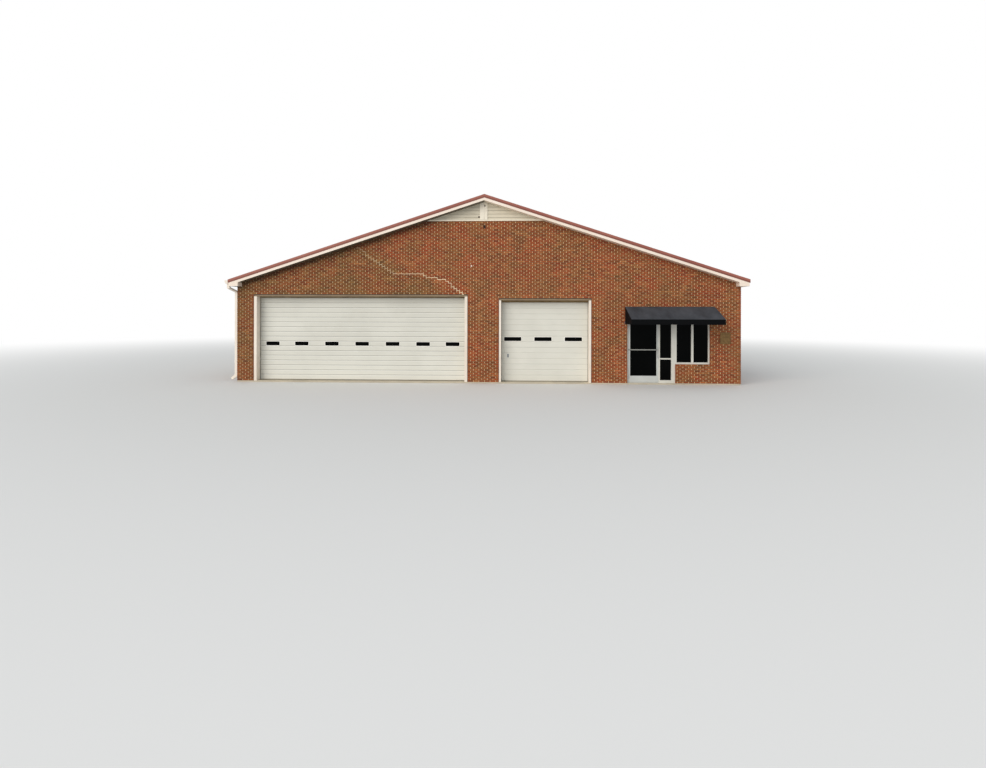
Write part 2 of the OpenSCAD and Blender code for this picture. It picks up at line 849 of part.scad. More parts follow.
// The ribbed sheet's section across its ribs: trapezoid ribs in one bent strip
sheet_y = board_y - seat;

function rib_path() = let (
    span = 2 * (sheet_y - rib_foot),
    n = round(span / rib_pitch),
    step = span / n)
    concat([[-sheet_y, 0]],
           [for (i = [0 : n], k = [-2, -1, 1, 2])
               [-span / 2 + i * step
                    + sign(k) * (abs(k) == 2 ? rib_foot : rib_top) / 2,
                abs(k) == 2 ? 0 : rib_h]],
           [[sheet_y, 0]]);

module roof_sheet() color(roof_red)
    translate([0, 0, under_deck(0) + sheet_up]) rotate([0, roof_angle, 0])
        rail(band(rib_path(), 0, metal_t), 0,
             (eave_x + sheet_drip) / cos(roof_angle));

module roof_sheet_right() roof_sheet();
module roof_sheet_left() mirror([1, 0, 0]) roof_sheet();

module ridge_cap() color(roof_red)
    plate(gable_band(cap_w, trim_lo, trim_up), -rake_y + cap_w,
          rake_y - cap_w);

// Bent metal over the roof's end: a flat top on the ribs and an upright face
module rake_trim() color(roof_red) both_ends() {
    reach = eave_x + sheet_drip;
    union() {
        plate(gable_band(reach, trim_lo, trim_up), -rake_y, -rake_y + cap_w);
        plate(gable_band(reach, trim_up - rake_trim_h, trim_up),
              -rake_y, -board_y);
    }
}

// Fascia board behind the rake trim, with the soffit under the overhang
module rake_fascia() color(trim_white) both_ends() union() {
    plate(gable_band(eave_x, -soffit_t, deck_t), -board_y, -deck_y);
    plate(gable_band(eave_x - fascia_t, -soffit_t, 0), -deck_y, -half_d);
}

// Eave fascia and soffit with a boxed return at each end
module eave_box() color(trim_white) union() {
    inner = eave_x - fascia_t;
    down = soffit_t + seat;
    plate([[inner, eave_soffit_z], [eave_x, eave_soffit_z],
           [eave_x, under_deck(eave_x) + deck_t],
           [inner, under_deck(inner) + deck_t]], -half_d, half_d);
    box([half_w, eave_x], [-half_d, half_d],
        [eave_soffit_z, eave_soffit_z + soffit_t]);
    both_ends() {
        plate([[half_w - return_w, eave_soffit_z], [eave_x, eave_soffit_z],
               [eave_x, under_deck(eave_x) - down],
               [half_w - return_w, under_deck(half_w - return_w) - down]],
              -board_y, -half_d);
        plate([[inner, eave_soffit_z], [eave_x, eave_soffit_z],
               [eave_x, under_deck(eave_x) + deck_t],
               [inner, under_deck(inner) + deck_t]], -deck_y, -half_d);
    }
}

module eave_box_right() eave_box();
module eave_box_left() mirror([1, 0, 0]) eave_box();

gutter_top = under_deck(eave_x) + deck_t - gutter_drop;
gutter_foot = gutter_top - gutter_h;

// The gutter's front, as shares of its width and height from the back foot
gutter_ogee = [[0.7, 0], [0.8, 0], [0.84, 0.3], [0.95, 0.6], [1, 0.85], [1, 1]];
gutter_path = [
    for (q = gutter_ogee)
        [-eave_x - q[0] * gutter_w, gutter_foot + q[1] * gutter_h]
];

// The metal's thickness is kept clear of the end caps
gutter_y = board_y - metal_t;

module gutter_back() color(trim_white)
    box([-eave_x - metal_t, -eave_x], [-gutter_y, gutter_y],
        [gutter_foot, gutter_top]);

module gutter_floor() color(trim_white) difference() {
    box([gutter_path[0][0], -eave_x - metal_t], [-gutter_y, gutter_y],
        [gutter_foot, gutter_foot + metal_t]);
    box([outlet_x - outlet_w / 2, outlet_x + outlet_w / 2],
        [outlet_y0 + outlet_in, outlet_y0 + pipe_d - outlet_in],
        [gutter_foot - 1, gutter_foot + metal_t + 1]);
}

module gutter_front() color(trim_white)
    plate(band(gutter_path, 0, -metal_t), -gutter_y, gutter_y);

module gutter_ends() color(trim_white) both_ends()
    plate(concat([[-eave_x, gutter_top], [-eave_x, gutter_foot]],
                 gutter_path), -board_y, -gutter_y);

// The outlet's hole in the gutter's floor, over the downspout
outlet_w = 60;
outlet_in = 10;
outlet_x = -eave_x - 1 - pipe_w / 2;
outlet_y0 = front - outlet_fore;

// The downspout's upright along the side wall, its bends and its foot
pipe_y0 = front + pipe_in;
pipe_x = -half_w - pipe_off - pipe_w / 2;
neck_z = eave_soffit_z - neck_drop;
upright_z = neck_z - gooseneck_h;
kick_z = 225;
kick_h = 115;
strap_in = 275;
strap_h = 25;
strap_end = 12;
strap_lo = kick_z + strap_in;
strap_hi = upright_z - strap_in;

// The downspout a distance t inside its skin: the outlet, a gooseneck back
// and in to the wall's side, the upright and the kick-out
module pipe_run(t) {
    half = pipe_w / 2 - t;
    outlet = [[outlet_x - half, outlet_x + half],
              [outlet_y0 + t, outlet_y0 + pipe_d - t]];
    upright = [[pipe_x - half, pipe_x + half],
               [pipe_y0 + t, pipe_y0 + pipe_d - t]];
    box(outlet[0], outlet[1], [neck_z - t, gutter_foot]);
    hull() {
        box(outlet[0], outlet[1], [neck_z - bend_h + t, neck_z - t]);
        box(upright[0], upright[1],
            [upright_z + t, upright_z + bend_h - t]);
    }
    plate(band([[pipe_x, upright_z + t], [pipe_x, kick_z],
                [pipe_x - kick_out, kick_z - kick_h]], -half, half),
          upright[1][0], upright[1][1]);
}

module downspout() color(trim_white) union() {
    difference() {
        pipe_run(0);
        pipe_run(metal_t);
    }
    for (z = [strap_lo, (strap_lo + strap_hi) / 2, strap_hi])
        box([-half_w - pipe_off - metal_t, -half_w],
            [pipe_y0 - strap_end, pipe_y0 + pipe_d + strap_end],
            [z, z + strap_h]);
}

// A blank field inside a raised border
module plaque() color("#8a6f45") {
    x = half_w - plaque_in;
    in = plaque_w / 2 - plaque_border;
    up = plaque_h / 2 - plaque_border;
    difference() {
        box([x - plaque_w / 2, x + plaque_w / 2], [front - plaque_t, front],
            [plaque_z - plaque_h / 2, plaque_z + plaque_h / 2]);
        box([x - in, x + in],
            [front - plaque_t - 1, front - plaque_t + plaque_rise],
            [plaque_z - up, plaque_z + up]);
    }
}

floor_slab();
front_wall_left_pier();
front_wall_middle_pier();
front_wall_entry_pier();
front_wall_window_sill();
front_wall_right_pier();
front_wall_small_door_head();
front_wall_entry_head();
front_wall_gable();
left_wall();
right_wall();
back_wall();
gable_siding();
gable_boards();
large_door_jambs();
large_door_sections();
small_door_jambs();
small_door_sections();
bay_door_heads();
bay_door_windows();
bay_door_window_frames();
bay_door_seals();
small_door_handle();
entry_frame();
entry_sidelight_glass();
entry_hinges();
entry_door_leaf();
entry_door_glass();
entry_door_hinges();
entry_door_handles();
window_frames();
window_glass();
awning_frame();
awning_cover();
roof_deck_left();
roof_deck_right();
roof_sheet_left();
roof_sheet_right();
ridge_cap();
rake_trim();
rake_fascia();
eave_box_left();
eave_box_right();
gutter_back();
gutter_floor();
gutter_front();
gutter_ends();
downspout();
plaque();
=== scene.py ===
import math
from collections import namedtuple

import bmesh
import bpy
import numpy as np
from mathutils import Matrix, Vector


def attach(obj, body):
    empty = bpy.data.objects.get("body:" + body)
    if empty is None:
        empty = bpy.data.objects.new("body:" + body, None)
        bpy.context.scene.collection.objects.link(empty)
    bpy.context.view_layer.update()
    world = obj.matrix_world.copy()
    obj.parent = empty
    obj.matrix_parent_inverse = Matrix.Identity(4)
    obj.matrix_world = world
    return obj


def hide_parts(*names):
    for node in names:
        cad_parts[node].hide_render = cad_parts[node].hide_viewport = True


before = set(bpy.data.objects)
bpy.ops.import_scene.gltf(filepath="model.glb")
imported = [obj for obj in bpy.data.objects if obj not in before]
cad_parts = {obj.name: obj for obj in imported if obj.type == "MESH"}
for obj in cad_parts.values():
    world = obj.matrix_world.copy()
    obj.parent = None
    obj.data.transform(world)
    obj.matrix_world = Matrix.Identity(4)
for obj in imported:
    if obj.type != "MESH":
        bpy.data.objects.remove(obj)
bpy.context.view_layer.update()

rng = np.random.default_rng(1953)

# Sizes and places, all in metres. The front looks along -Y, and left and right are as seen there.

# One brick and one course, each with its joint, and the joints' own widths
BRICK = 0.2032
COURSE = 0.06773
BED_JOINT = 0.0130
UPRIGHT_JOINT = 0.0160

# The bricks stand this far out of the CAD's walls and reach this far into them
PROUD = 0.007
EMBED = 0.003

# In an opening with a frame they reach back this far and line its sides this thick
RETURN = 0.075
LINING = 0.003

# The building: half of each side, the slab's top, the walls' top at the eaves, the roof's tilt
HALF = 45 * BRICK
SLAB = 0.050
WALL_TOP = 3.614
TILT = math.radians(18.09)
SLOPE = math.tan(TILT)
FRONT = -HALF
BRICK_FACE = FRONT - PROUD

# Where the brick ends at the top: under the eaves' soffits, and at the foot of the gables' siding
EAVE_SOFFIT = 3.515
SIDING_FOOT = 5.900

# Height of one lap of siding, and of the shade at its top
SIDING_LAP = 0.127
LAP_SHADE = 0.12 * SIDING_LAP

# Height of the painted shade on a bed, a painted block's length and joint, and a place within the walls
BED_SHADE_HIGH = 0.01084
BLOCK_LONG = 0.4064
BLOCK_JOINT = 0.00975
WALL_MIDDLE = 8.95

# Painted shade under the left rakes comes in and is at its fullest these distances under the walls' top
RAKE_SHADE_FROM = 0.21
RAKE_SHADE_FULL = 0.09

# Openings in the brick. Where returned is true, the bricks turn back to a frame inside.
Opening = namedtuple("Opening", "left right foot head returned")
HEAD = SLAB + 33 * COURSE
SILL = SLAB + 10 * COURSE
LARGE_BAY = Opening(-42 * BRICK, -3 * BRICK, 0, SLAB + 47 * COURSE, False)
SMALL_BAY = Opening(2.5 * BRICK, 19 * BRICK, 0, SLAB + 45 * COURSE, False)
ENTRY = Opening(25.25 * BRICK, 33.75 * BRICK, 0, HEAD, True)
FRONT_WINDOW = Opening(33.75 * BRICK, 39.75 * BRICK, SILL, HEAD, True)

# The bay doors: the lowest section's foot, the steel's face, and the spacing of their grooves
DOOR_FOOT = 0.070
DOOR_FACE = -8.839
LARGE_GROOVES = 0.17796
SMALL_GROOVES = 0.20453

# The bays' trim: widths of the jamb liners, height of the steel heads, and how much of their top is
# darker
LARGE_JAMB = 0.117
SMALL_JAMB = 0.090
HEAD_LINER = 0.080
DARK_TOP_HIGH = 0.026

# Middle and half height of the bar across the entry door's leaf, rubbed by hands
LEAF_BAR = 1.242
LEAF_BAR_HALF = 0.030

# Height that the top of the rake trim's hem, which falls with the slope, has at the ridge
TRIM_HEM = 6.742

# The mended crack's main line: its fall in each metre to the right, and its height at x = 0
CRACK_FALL = 0.44
CRACK_LINE = 2.90


def wall_top(x):
    """Height of the walls' top under the roof, x metres from the middle."""
    return WALL_TOP + SLOPE * (HALF - abs(x))


# Colours and nodes

def linear(code):
    """An sRGB hex colour as the linear values that a shader takes."""
    parts = [int(code[i:i + 2], 16) / 255 for i in (1, 3, 5)]
    return (*[c / 12.92 if c <= 0.04045 else ((c + 0.055) / 1.055) ** 2.4 for c in parts], 1.0)


def flow(source):
    """What a node gives, which is its first live output. Anything else is given as it is."""
    if isinstance(source, bpy.types.Node):
        return next(out for out in source.outputs if out.enabled)
    return source


def add(tree, kind, *inputs, **settings):
    """Adds a node with its settings, and feeds its live inputs in order with values or links.

    None leaves an input as it is, and stops are a ramp's places and hex colours."""
    made = tree.nodes.new("ShaderNode" + kind)
    for name, value in settings.items():
        if name == "stops":
            stops = made.color_ramp.elements
            while len(stops) < len(value):
                stops.new(0.5)
            for stop, (place, colour) in zip(stops, value):
                stop.position = place
                stop.color = linear(colour)
        else:
            setattr(made, name, value)
    live = [socket for socket in made.inputs if socket.enabled]
    for socket, value in zip(live, map(flow, inputs)):
        if isinstance(value, bpy.types.NodeSocket):
            tree.links.new(value, socket)
        elif value is not None:
            socket.default_value = value
    return made


def surface(name, base, roughness, **more):
    """A material with one Principled shader: (material, its tree, Object coordinates)."""
    made = bpy.data.materials.new(name)
    made.use_nodes = True
    tree = made.node_tree
    tree.nodes.clear()
    shader = add(tree, "BsdfPrincipled")
    shader.inputs["Base Color"].default_value = linear(base)
    shader.inputs["Roughness"].default_value = roughness
    for socket, value in more.items():
        shader.inputs[socket.replace("_", " ")].default_value = value
    add(tree, "OutputMaterial", shader)
    return made, tree, add(tree, "TexCoord").outputs["Object"]


def dress(made, colour, relief, depth, strength=1.0):
    """Gives a material its colour, and a relief from 0 to 1 that is depth metres deep."""
    tree = made.node_tree
    shader = tree.nodes["Principled BSDF"]
    tree.links.new(flow(colour), shader.inputs["Base Color"])
    bump = add(tree, "Bump", strength, depth, None, relief)
    tree.links.new(flow(bump), shader.inputs["Normal"])
    return made


def blotches(tree, at, size, detail=3.0, stretch=(1, 1, 1)):
    """Cloudy patches, from 0 to 1, about size metres across and longer where stretch is more."""
    spread = add(tree, "Mapping", at, None, None, [1 / (size * s) for s in stretch])
    return add(tree, "TexNoise", spread, 1.0, detail, 0.55)


def patchy(tree, at, dark, light, size, detail=4.0, stretch=(1, 1, 1), soft=0.18):
    """A colour that drifts between two tones in patches, more softly where soft is more."""
    return add(tree, "ValToRGB", blotches(tree, at, size, detail, stretch),
               stops=((0.5 - soft, dark), (0.5 + soft, light)))


def overlaid(tree, finish, share, colour, strength=1.0):
    """A finish with a colour over it, by a share from 0 to 1 of a strength. It lays stains, painted
    shade and painted highlights.
    """
    weight = add(tree, "Math", share, strength, operation="MULTIPLY")
    return add(tree, "Mix", weight, finish, linear(colour), data_type="RGBA")


def in_band(tree, value, middle, half):
    """One inside a band round a middle value, and nothing outside it."""
    off = add(tree, "Math", value, middle, operation="SUBTRACT")
    off = add(tree, "Math", off, operation="ABSOLUTE")
    return add(tree, "Math", off, half, operation="LESS_THAN")


def on_lines(tree, place, first, pitch, width):
    """One on the lines of a row, each of a width, a pitch apart from the first on."""
    beyond = add(tree, "Math", place, first - pitch / 2, operation="SUBTRACT")
    turns = add(tree, "Math", beyond, pitch, operation="DIVIDE")
    turns = add(tree, "Math", turns, operation="FRACT")
    return in_band(tree, turns, 0.5, width / pitch / 2)


def left_half(tree, at):
    """One left of the ridge, and nothing right of it."""
    axes = add(tree, "SeparateXYZ", at).outputs
    return add(tree, "Math", axes["X"], 0.0, operation="LESS_THAN")


def slope_height(tree, at):
    """Height at the ridge of the line through a place that falls as the roof does."""
    axes = add(tree, "SeparateXYZ", at).outputs
    out = add(tree, "Math", axes["X"], operation="ABSOLUTE")
    return add(tree, "Math", out, SLOPE, axes["Z"], operation="MULTIPLY_ADD")


def rake_shaded(tree, at, colour):
    """A colour darkened by painted shade on the front and back walls, under the left rakes."""
    near = add(tree, "MapRange", slope_height(tree, at),
               wall_top(0) - RAKE_SHADE_FROM, wall_top(0) - RAKE_SHADE_FULL)
    share = add(tree, "Math", near, left_half(tree, at), operation="MULTIPLY")
    # Painted shade under the left rakes
    return overlaid(tree, colour, share, "#241c15", 0.55)


def weathered(name, dark, light, roughness, patch=0.9, stretch=(1, 1, 1),
              grain=0.004, depth=0.0002, dirt=None, **more):
    """A plain finish with slow patches between two colours, a fine grain and streaks of dirt."""
    made, tree, at = surface(name, light, roughness, **more)
    colour = patchy(tree, at, dark, light, patch, 4.0, stretch)
    if dirt:
        streaks = blotches(tree, at, 0.12, 5.0, stretch)
        colour = overlaid(tree, colour, add(tree, "MapRange", streaks, 0.56, 0.80), dirt, 0.55)
    return dress(made, colour, blotches(tree, at, grain, 2.0), depth)


# Finishes that the photograph shows in more than one tone

def fired_clay_brick():
    """Wire-cut clay, fired unevenly: matt orange browns with burnt ends, no two bricks alike.

    Three draws that each brick carries set its body, its burn and its lean from tan to red, and
    bricks of one batch lean together."""
    made, tree, at = surface("fired_clay_brick", "#8f5a3f", 0.9, Specular_IOR_Level=0.3)
    drawn = add(tree, "Attribute", attribute_name="brick_tone").outputs["Color"]
    tone, burn, lean = add(tree, "SeparateColor", drawn).outputs
    body = add(tree, "ValToRGB", tone, stops=(
        (0.0, "#63321e"), (0.25, "#834526"), (0.5, "#98532c"), (0.75, "#aa6538"), (1.0, "#c4814c")))
    batch = add(tree, "MapRange", blotches(tree, at, 0.9), 0.36, 0.64)
    lean = add(tree, "Math", lean, 0.45, operation="MULTIPLY")
    lean = add(tree, "Math", batch, 0.55, lean, operation="MULTIPLY_ADD")
    hue = add(tree, "ValToRGB", lean, stops=(
        (0.15, "#7a5b34"), (0.5, "#945030"), (0.85, "#b14229")))
    body = add(tree, "Mix", 0.38, body, hue, data_type="RGBA")
    burnt = add(tree, "Math", blotches(tree, at, 0.06, 4.0), burn, operation="MULTIPLY")
    body = overlaid(tree, body, burnt, "#57331f", 0.5)

    # Below and left of the mended crack the wall has gone browner than the rest
    axes = add(tree, "SeparateXYZ", at).outputs
    level = add(tree, "Math", axes["X"], CRACK_FALL, axes["Z"], operation="MULTIPLY_ADD")
    below = add(tree, "MapRange", level, CRACK_LINE + 0.05, CRACK_LINE - 0.15)
    leftward = add(tree, "MapRange", axes["X"], -0.6, -2.2)
    browned = add(tree, "Math", below, leftward, operation="MULTIPLY")
    body = add(tree, "Mix", browned, body, linear("#e7fcf6"), data_type="RGBA",
               blend_type="MULTIPLY")
    # Painted shade under the left rakes darkens the bricks
    return dress(made, rake_shaded(tree, at, body), blotches(tree, at, 0.005), 0.0006)


def mortar_and_block():
    """Tan mortar outside, pale in the upright joints, with painted shade along the beds.

    Inside it is painted block, told apart by how far out the wall's face lies."""
    made, tree, at = surface("mortar_and_painted_block", "#c9b090", 0.92)
    axes = add(tree, "SeparateXYZ", at).outputs
    pale_mortar = patchy(tree, at, "#d8bc84", "#fae3b4", 0.05, 5.0, soft=0.2)
    # Painted shade in the bed joints, under the bricks above them
    bed_shade = patchy(tree, at, "#3a2b1d", "#67503a", 0.08, 5.0, soft=0.2)
    bed = on_lines(tree, axes["Z"], SLAB, COURSE, BED_SHADE_HIGH)
    mortar = add(tree, "Mix", bed, pale_mortar, bed_shade, data_type="RGBA")

    along = add(tree, "Math", axes["X"], axes["Y"], operation="ADD")
    lift = on_lines(tree, axes["Z"], SLAB, BLOCK_LONG / 2, BLOCK_JOINT)
    upright = on_lines(tree, along, 0.0, BLOCK_LONG, BLOCK_JOINT)
    joints = add(tree, "Math", lift, upright, operation="MAXIMUM")
    paint = overlaid(tree, linear("#d9d5c8"), joints, "#c3beb0")

    x_size = add(tree, "Math", axes["X"], operation="ABSOLUTE")
    y_size = add(tree, "Math", axes["Y"], operation="ABSOLUTE")
    out = add(tree, "Math", x_size, y_size, operation="MAXIMUM")
    inside = add(tree, "Math", out, WALL_MIDDLE, operation="LESS_THAN")
    # Painted shade under the left rakes darkens the mortar
    colour = add(tree, "Mix", inside, rake_shaded(tree, at, mortar), paint, data_type="RGBA")
    return dress(made, colour, blotches(tree, at, 0.003, 2.0), 0.0005)


def door_enamel(name, pitch, painted_shading, lip, foot_light):
    """Baked enamel on door steel: off-white and faintly chalky, and lighter towards the floor with
    painted light.

    Painted shade lies 24 mm high at each groove, and a painted highlight 16 mm high on the lip under
    it."""
    made, tree, at = surface(name, "#dedcd1", 0.5)
    height = add(tree, "SeparateXYZ", at).outputs["Z"]
    colour = patchy(tree, at, "#d1cfc4", "#dddbd0", 1.6, 3.0)
    # Painted light from the ground, lighter towards the floor
    colour = overlaid(tree, colour, add(tree, "MapRange", height, 1.1, 0.1), "#efede2", foot_light)
    # Painted shade in each groove
    shaded_groove = on_lines(tree, height, DOOR_FOOT + 0.003, pitch, 0.024)
    colour = overlaid(tree, colour, shaded_groove, "#88857b", painted_shading)
    # Painted highlight on the lip under each groove
    painted_lip_light = on_lines(tree, height, DOOR_FOOT - 0.014, pitch, 0.016)
    colour = overlaid(tree, colour, painted_lip_light, "#f6f5ee", lip)
    return dress(made, colour, blotches(tree, at, 0.004, 2.0), 0.0002)


def soffit_paint():
    """Trim paint on boards and soffits: warm white, with painted shade where it looks down.

    Under the left slope the painted shade is dark."""
    made, tree, at = surface("painted_boards_and_soffits", "#f4e6d6", 0.5)
    clean = patchy(tree, at, "#f0dfcd", "#f9eadb", 0.8, 4.0, (1, 1, 2))
    looks = add(tree, "NewGeometry").outputs["True Normal"]
    upward = add(tree, "SeparateXYZ", looks).outputs["Z"]
    under = add(tree, "Math", upward, -0.5, operation="LESS_THAN")
    # Painted shade on faces that look down, dark under the left slope
    underside_shade = overlaid(tree, linear("#ecdcc8"), left_half(tree, at), "#5f5646")
    colour = add(tree, "Mix", under, clean, underside_shade, data_type="RGBA")
    return dress(made, colour, blotches(tree, at, 0.004, 2.0), 0.0002)


def lintel_steel():
    """Old paint on the bays' steel heads: flat tan, darker along the top where the brick sits on it."""
    made, tree, at = surface("painted_lintel_steel", "#76634a", 0.6)
    height = add(tree, "SeparateXYZ", at).outputs["Z"]
    dark_top_foot = add(tree, "Math", left_half(tree, at), LARGE_BAY.head - SMALL_BAY.head,
                    SMALL_BAY.head - DARK_TOP_HIGH, operation="MULTIPLY_ADD")
    dark_top = add(tree, "Math", height, dark_top_foot, operation="GREATER_THAN")
    colour = overlaid(tree, patchy(tree, at, "#76634a", "#8b785b", 0.6), dark_top, "#38271a")
    return dress(made, colour, blotches(tree, at, 0.004, 2.0), 0.0002)


def vinyl_siding():
    """Cream vinyl: low sheen, a wood grain pressed along it, and shade under each lap's edge."""
    made, tree, at = surface("vinyl_siding", "#dcd3be", 0.55)
    height = add(tree, "SeparateXYZ", at).outputs["Z"]
    shaded = on_lines(tree, height, SIDING_FOOT - LAP_SHADE / 2, SIDING_LAP, LAP_SHADE)
    cream = patchy(tree, at, "#d4cab4", "#e1d7c1", 0.9, 3.0, soft=0.2)
    colour = overlaid(tree, cream, shaded, "#8f8570", 0.6)
    return dress(made, colour, blotches(tree, at, 0.012, 3.0, (6, 1, 1)), 0.0005)


def leaf_enamel():
    """The entry leaf's enamel: cooler than its frame's, its middle bar rubbed down to grey."""
    made, tree, at = surface("enamelled_door_leaf", "#c6c8c4", 0.38)
    height = add(tree, "SeparateXYZ", at).outputs["Z"]
    rubbed = in_band(tree, height, LEAF_BAR, LEAF_BAR_HALF)
    clean = patchy(tree, at, "#bfc1bd", "#cdcfca", 0.4, 3.0, soft=0.2)
    colour = overlaid(tree, clean, rubbed, "#85867f", 0.85)
    return dress(made, colour, blotches(tree, at, 0.004, 2.0), 0.0001)


def chalked_roof_steel():
    """Roof steel whose red paint has chalked: dull, paler in runs down the slope, with painted shade
    and dirt on the hems.
    """
    made, tree, at = surface("chalked_roof_steel", "#9a5a4e", 0.6)
    runs = patchy(tree, at, "#8f4c40", "#a56554", 0.5, 4.0, (6, 1, 6))
    # Painted shade and dirt on the rake trim's lower hem
    hem = add(tree, "Math", slope_height(tree, at), TRIM_HEM, operation="LESS_THAN")
    colour = overlaid(tree, runs, hem, "#703a2e", 0.7)
    return dress(made, colour, blotches(tree, at, 0.004, 2.0), 0.0002)


def smoked_glass():
    """Smoked float glass: near black and smooth, a weak mirror, little of the room behind."""
    made, tree, at = surface("smoked_float_glass", "#020303", 0.03, Specular_IOR_Level=0.02,
                             Transmission_Weight=0.06)
    tint = patchy(tree, at, "#010202", "#040505", 0.8, 2.0, soft=0.15)
    return dress(made, tint, blotches(tree, at, 0.6, 1.0), 0.0004, 0.4)


def woven_canvas():
    """Acrylic awning canvas: near black and woven, with painted sky light that greys it where it faces
    the sky.

    Its threads are 0.6 mm apart, drawn at 4 mm so that they show near by."""
    made, tree, at = surface("acrylic_awning_canvas", "#2c2d31", 0.9, Specular_IOR_Level=0.1)
    sky = add(tree, "Attribute", attribute_name="faces_sky").outputs["Fac"]
    # Painted sky light: grey in patches where the canvas faces the sky, near black elsewhere
    painted_shading = patchy(tree, at, "#3b3d41", "#4f5156", 0.35, 4.0, (1, 3, 1), 0.2)
    cloth = add(tree, "Mix", sky, linear("#08090b"), painted_shading, data_type="RGBA")
    across, down = [add(tree, "TexWave", at, 80.0, bands_direction=way).outputs["Fac"]
                    for way in "XZ"]
    return dress(made, cloth, add(tree, "Math", across, down, operation="MULTIPLY"), 0.0003)


brick = fired_clay_brick()
# The last three numbers: painted shade in the grooves, painted highlight on their lips, painted light
# towards the floor
large_door_steel = door_enamel("enamelled_steel_large_door", LARGE_GROOVES, 0.58, 0.85, 0.55)
small_door_steel = door_enamel("enamelled_steel_small_door", SMALL_GROOVES, 0.15, 0.20, 0.30)
roof_steel = chalked_roof_steel()
canvas = woven_canvas()

# Trowelled concrete: grey tan, cloudy, with a sandy grain
concrete = weathered("trowelled_concrete", "#b3a894", "#cabfaa", 0.85, grain=0.006, depth=0.0004)
# House paint on jambs and gutters: warm white, slightly glossy, streaked with dirt
paint_white = weathered("painted_trim", "#eadccb", "#f4e9db", 0.45, 0.8, (1, 1, 2), dirt="#d8cab6")
# Vinyl frames of the bay doors' windows: whiter than the steel round them, smooth
frame_vinyl = weathered("white_window_vinyl", "#efebe2", "#faf7f0", 0.4, 0.3)
# The house paint on the gables' boards, creamier with age
board_paint = weathered("painted_gable_boards", "#eae0cc", "#f6ecd9", 0.5, 0.5, (1, 1, 2),
                        dirt="#cabfa8")
# Factory enamel on the entry's aluminium: pale putty, even and smooth
frame_paint = weathered("enamelled_aluminium", "#d6d4c9", "#e2e0d6", 0.4, 0.5)
# Extruded rubber: near black, soft sheen
rubber = weathered("extruded_rubber", "#191919", "#242424", 0.7, 0.1)
# Rubber under the bay doors and down their sides, grey with road dust
dusty_rubber = weathered("dusty_foot_rubber", "#6d675c", "#8a8273", 0.85, 0.1)
# Tan vinyl weather seal, gone brown and dull under the bays' heads
head_vinyl = weathered("tan_weather_seal", "#7c6648", "#957e58", 0.75, 0.2)
# Brushed aluminium hinges and pulls: pale, with a soft streaked shine
bright_metal = weathered("brushed_aluminium", "#b4b4b2", "#c6c6c4", 0.32, 0.05, (1, 1, 8),
                         grain=0.001, depth=0.0001, Metallic=1.0)
# Cast iron lock under worn zinc: pale blue grey, darker in patches
cast_metal = weathered("worn_cast_iron", "#747a7e", "#9299a0", 0.5, 0.03, Metallic=0.6)
# Hot-dip galvanised tube: grey with the crystal patches of the zinc
zinc_tube = weathered("galvanised_tube", "#84878a", "#a3a6a8", 0.42, 0.02, Metallic=0.9)
# Cast bronze, gone brown where hands and rain don't polish it
bronze = weathered("aged_bronze", "#665033", "#876b45", 0.45, 0.06, dirt="#4a3c28", Metallic=0.85)
# Sawn boards under the roof: straw brown with long grain
boarding = weathered("sawn_roof_boards", "#a98a5c", "#cdb488", 0.8, 0.05, (1, 14, 1), grain=0.01,
                     depth=0.0006)
# Patching mortar in the old crack: pale, smeared over the bricks
patch_mortar = weathered("patching_mortar", "#d6c09c", "#ecdcba", 0.9, 0.08, depth=0.0008)
# Tooled sealant: brown, rubbery, dusty
sealant = weathered("brown_sealant", "#6a4a38", "#846250", 0.8, 0.1)
# Sheet steel gone brown with rust
rusty_plate = weathered("rusted_sheet_steel", "#2a1a13", "#4a2f22", 0.8, 0.03, Metallic=0.3)


def wear(finish, *nodes):
    """Gives CAD nodes a finish."""
    for name in nodes:
        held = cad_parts[name].data.materials
        held.clear()
        held.append(finish)


wear(mortar_and_block(), "front_wall_left_pier", "front_wall_middle_pier",
     "front_wall_entry_pier", "front_wall_window_sill", "front_wall_right_pier",
     "front_wall_small_door_head", "front_wall_entry_head", "front_wall_gable", "left_wall",
     "right_wall", "back_wall")
wear(concrete, "floor_slab")
wear(vinyl_siding(), "gable_siding")
wear(board_paint, "gable_boards")
wear(paint_white, "large_door_jambs", "small_door_jambs", "gutter_back", "gutter_floor",
     "gutter_front", "gutter_ends", "downspout")
wear(frame_vinyl, "bay_door_window_frames")
wear(soffit_paint(), "rake_fascia", "eave_box_left", "eave_box_right")
wear(lintel_steel(), "bay_door_heads")
wear(large_door_steel, "large_door_sections")
wear(small_door_steel, "small_door_sections")
wear(smoked_glass(), "bay_door_windows", "entry_sidelight_glass", "entry_door_glass",
     "window_glass")
wear(dusty_rubber, "bay_door_seals")
wear(cast_metal, "small_door_handle")
wear(frame_paint, "entry_frame", "window_frames")
wear(leaf_enamel(), "entry_door_leaf")
wear(bright_metal, "entry_hinges", "entry_door_hinges", "entry_door_handles")
wear(zinc_tube, "awning_frame")
wear(boarding, "roof_deck_left", "roof_deck_right")
wear(roof_steel, "roof_sheet_left", "roof_sheet_right", "ridge_cap", "rake_trim")
wear(bronze, "plaque")


# Modelling

TO_FRONT = (0, -1, 0)


def fresh():
    """Nothing selected, so that an operator acts on the next piece alone."""
    if bpy.context.mode != "OBJECT":
        bpy.ops.object.mode_set(mode="OBJECT")
    bpy.ops.object.select_all(action="DESELECT")


def settled():
    """The piece just added, its place, turn and size taken into its points."""
    bpy.ops.object.transform_apply(location=True, rotation=True, scale=True)
    return bpy.context.object


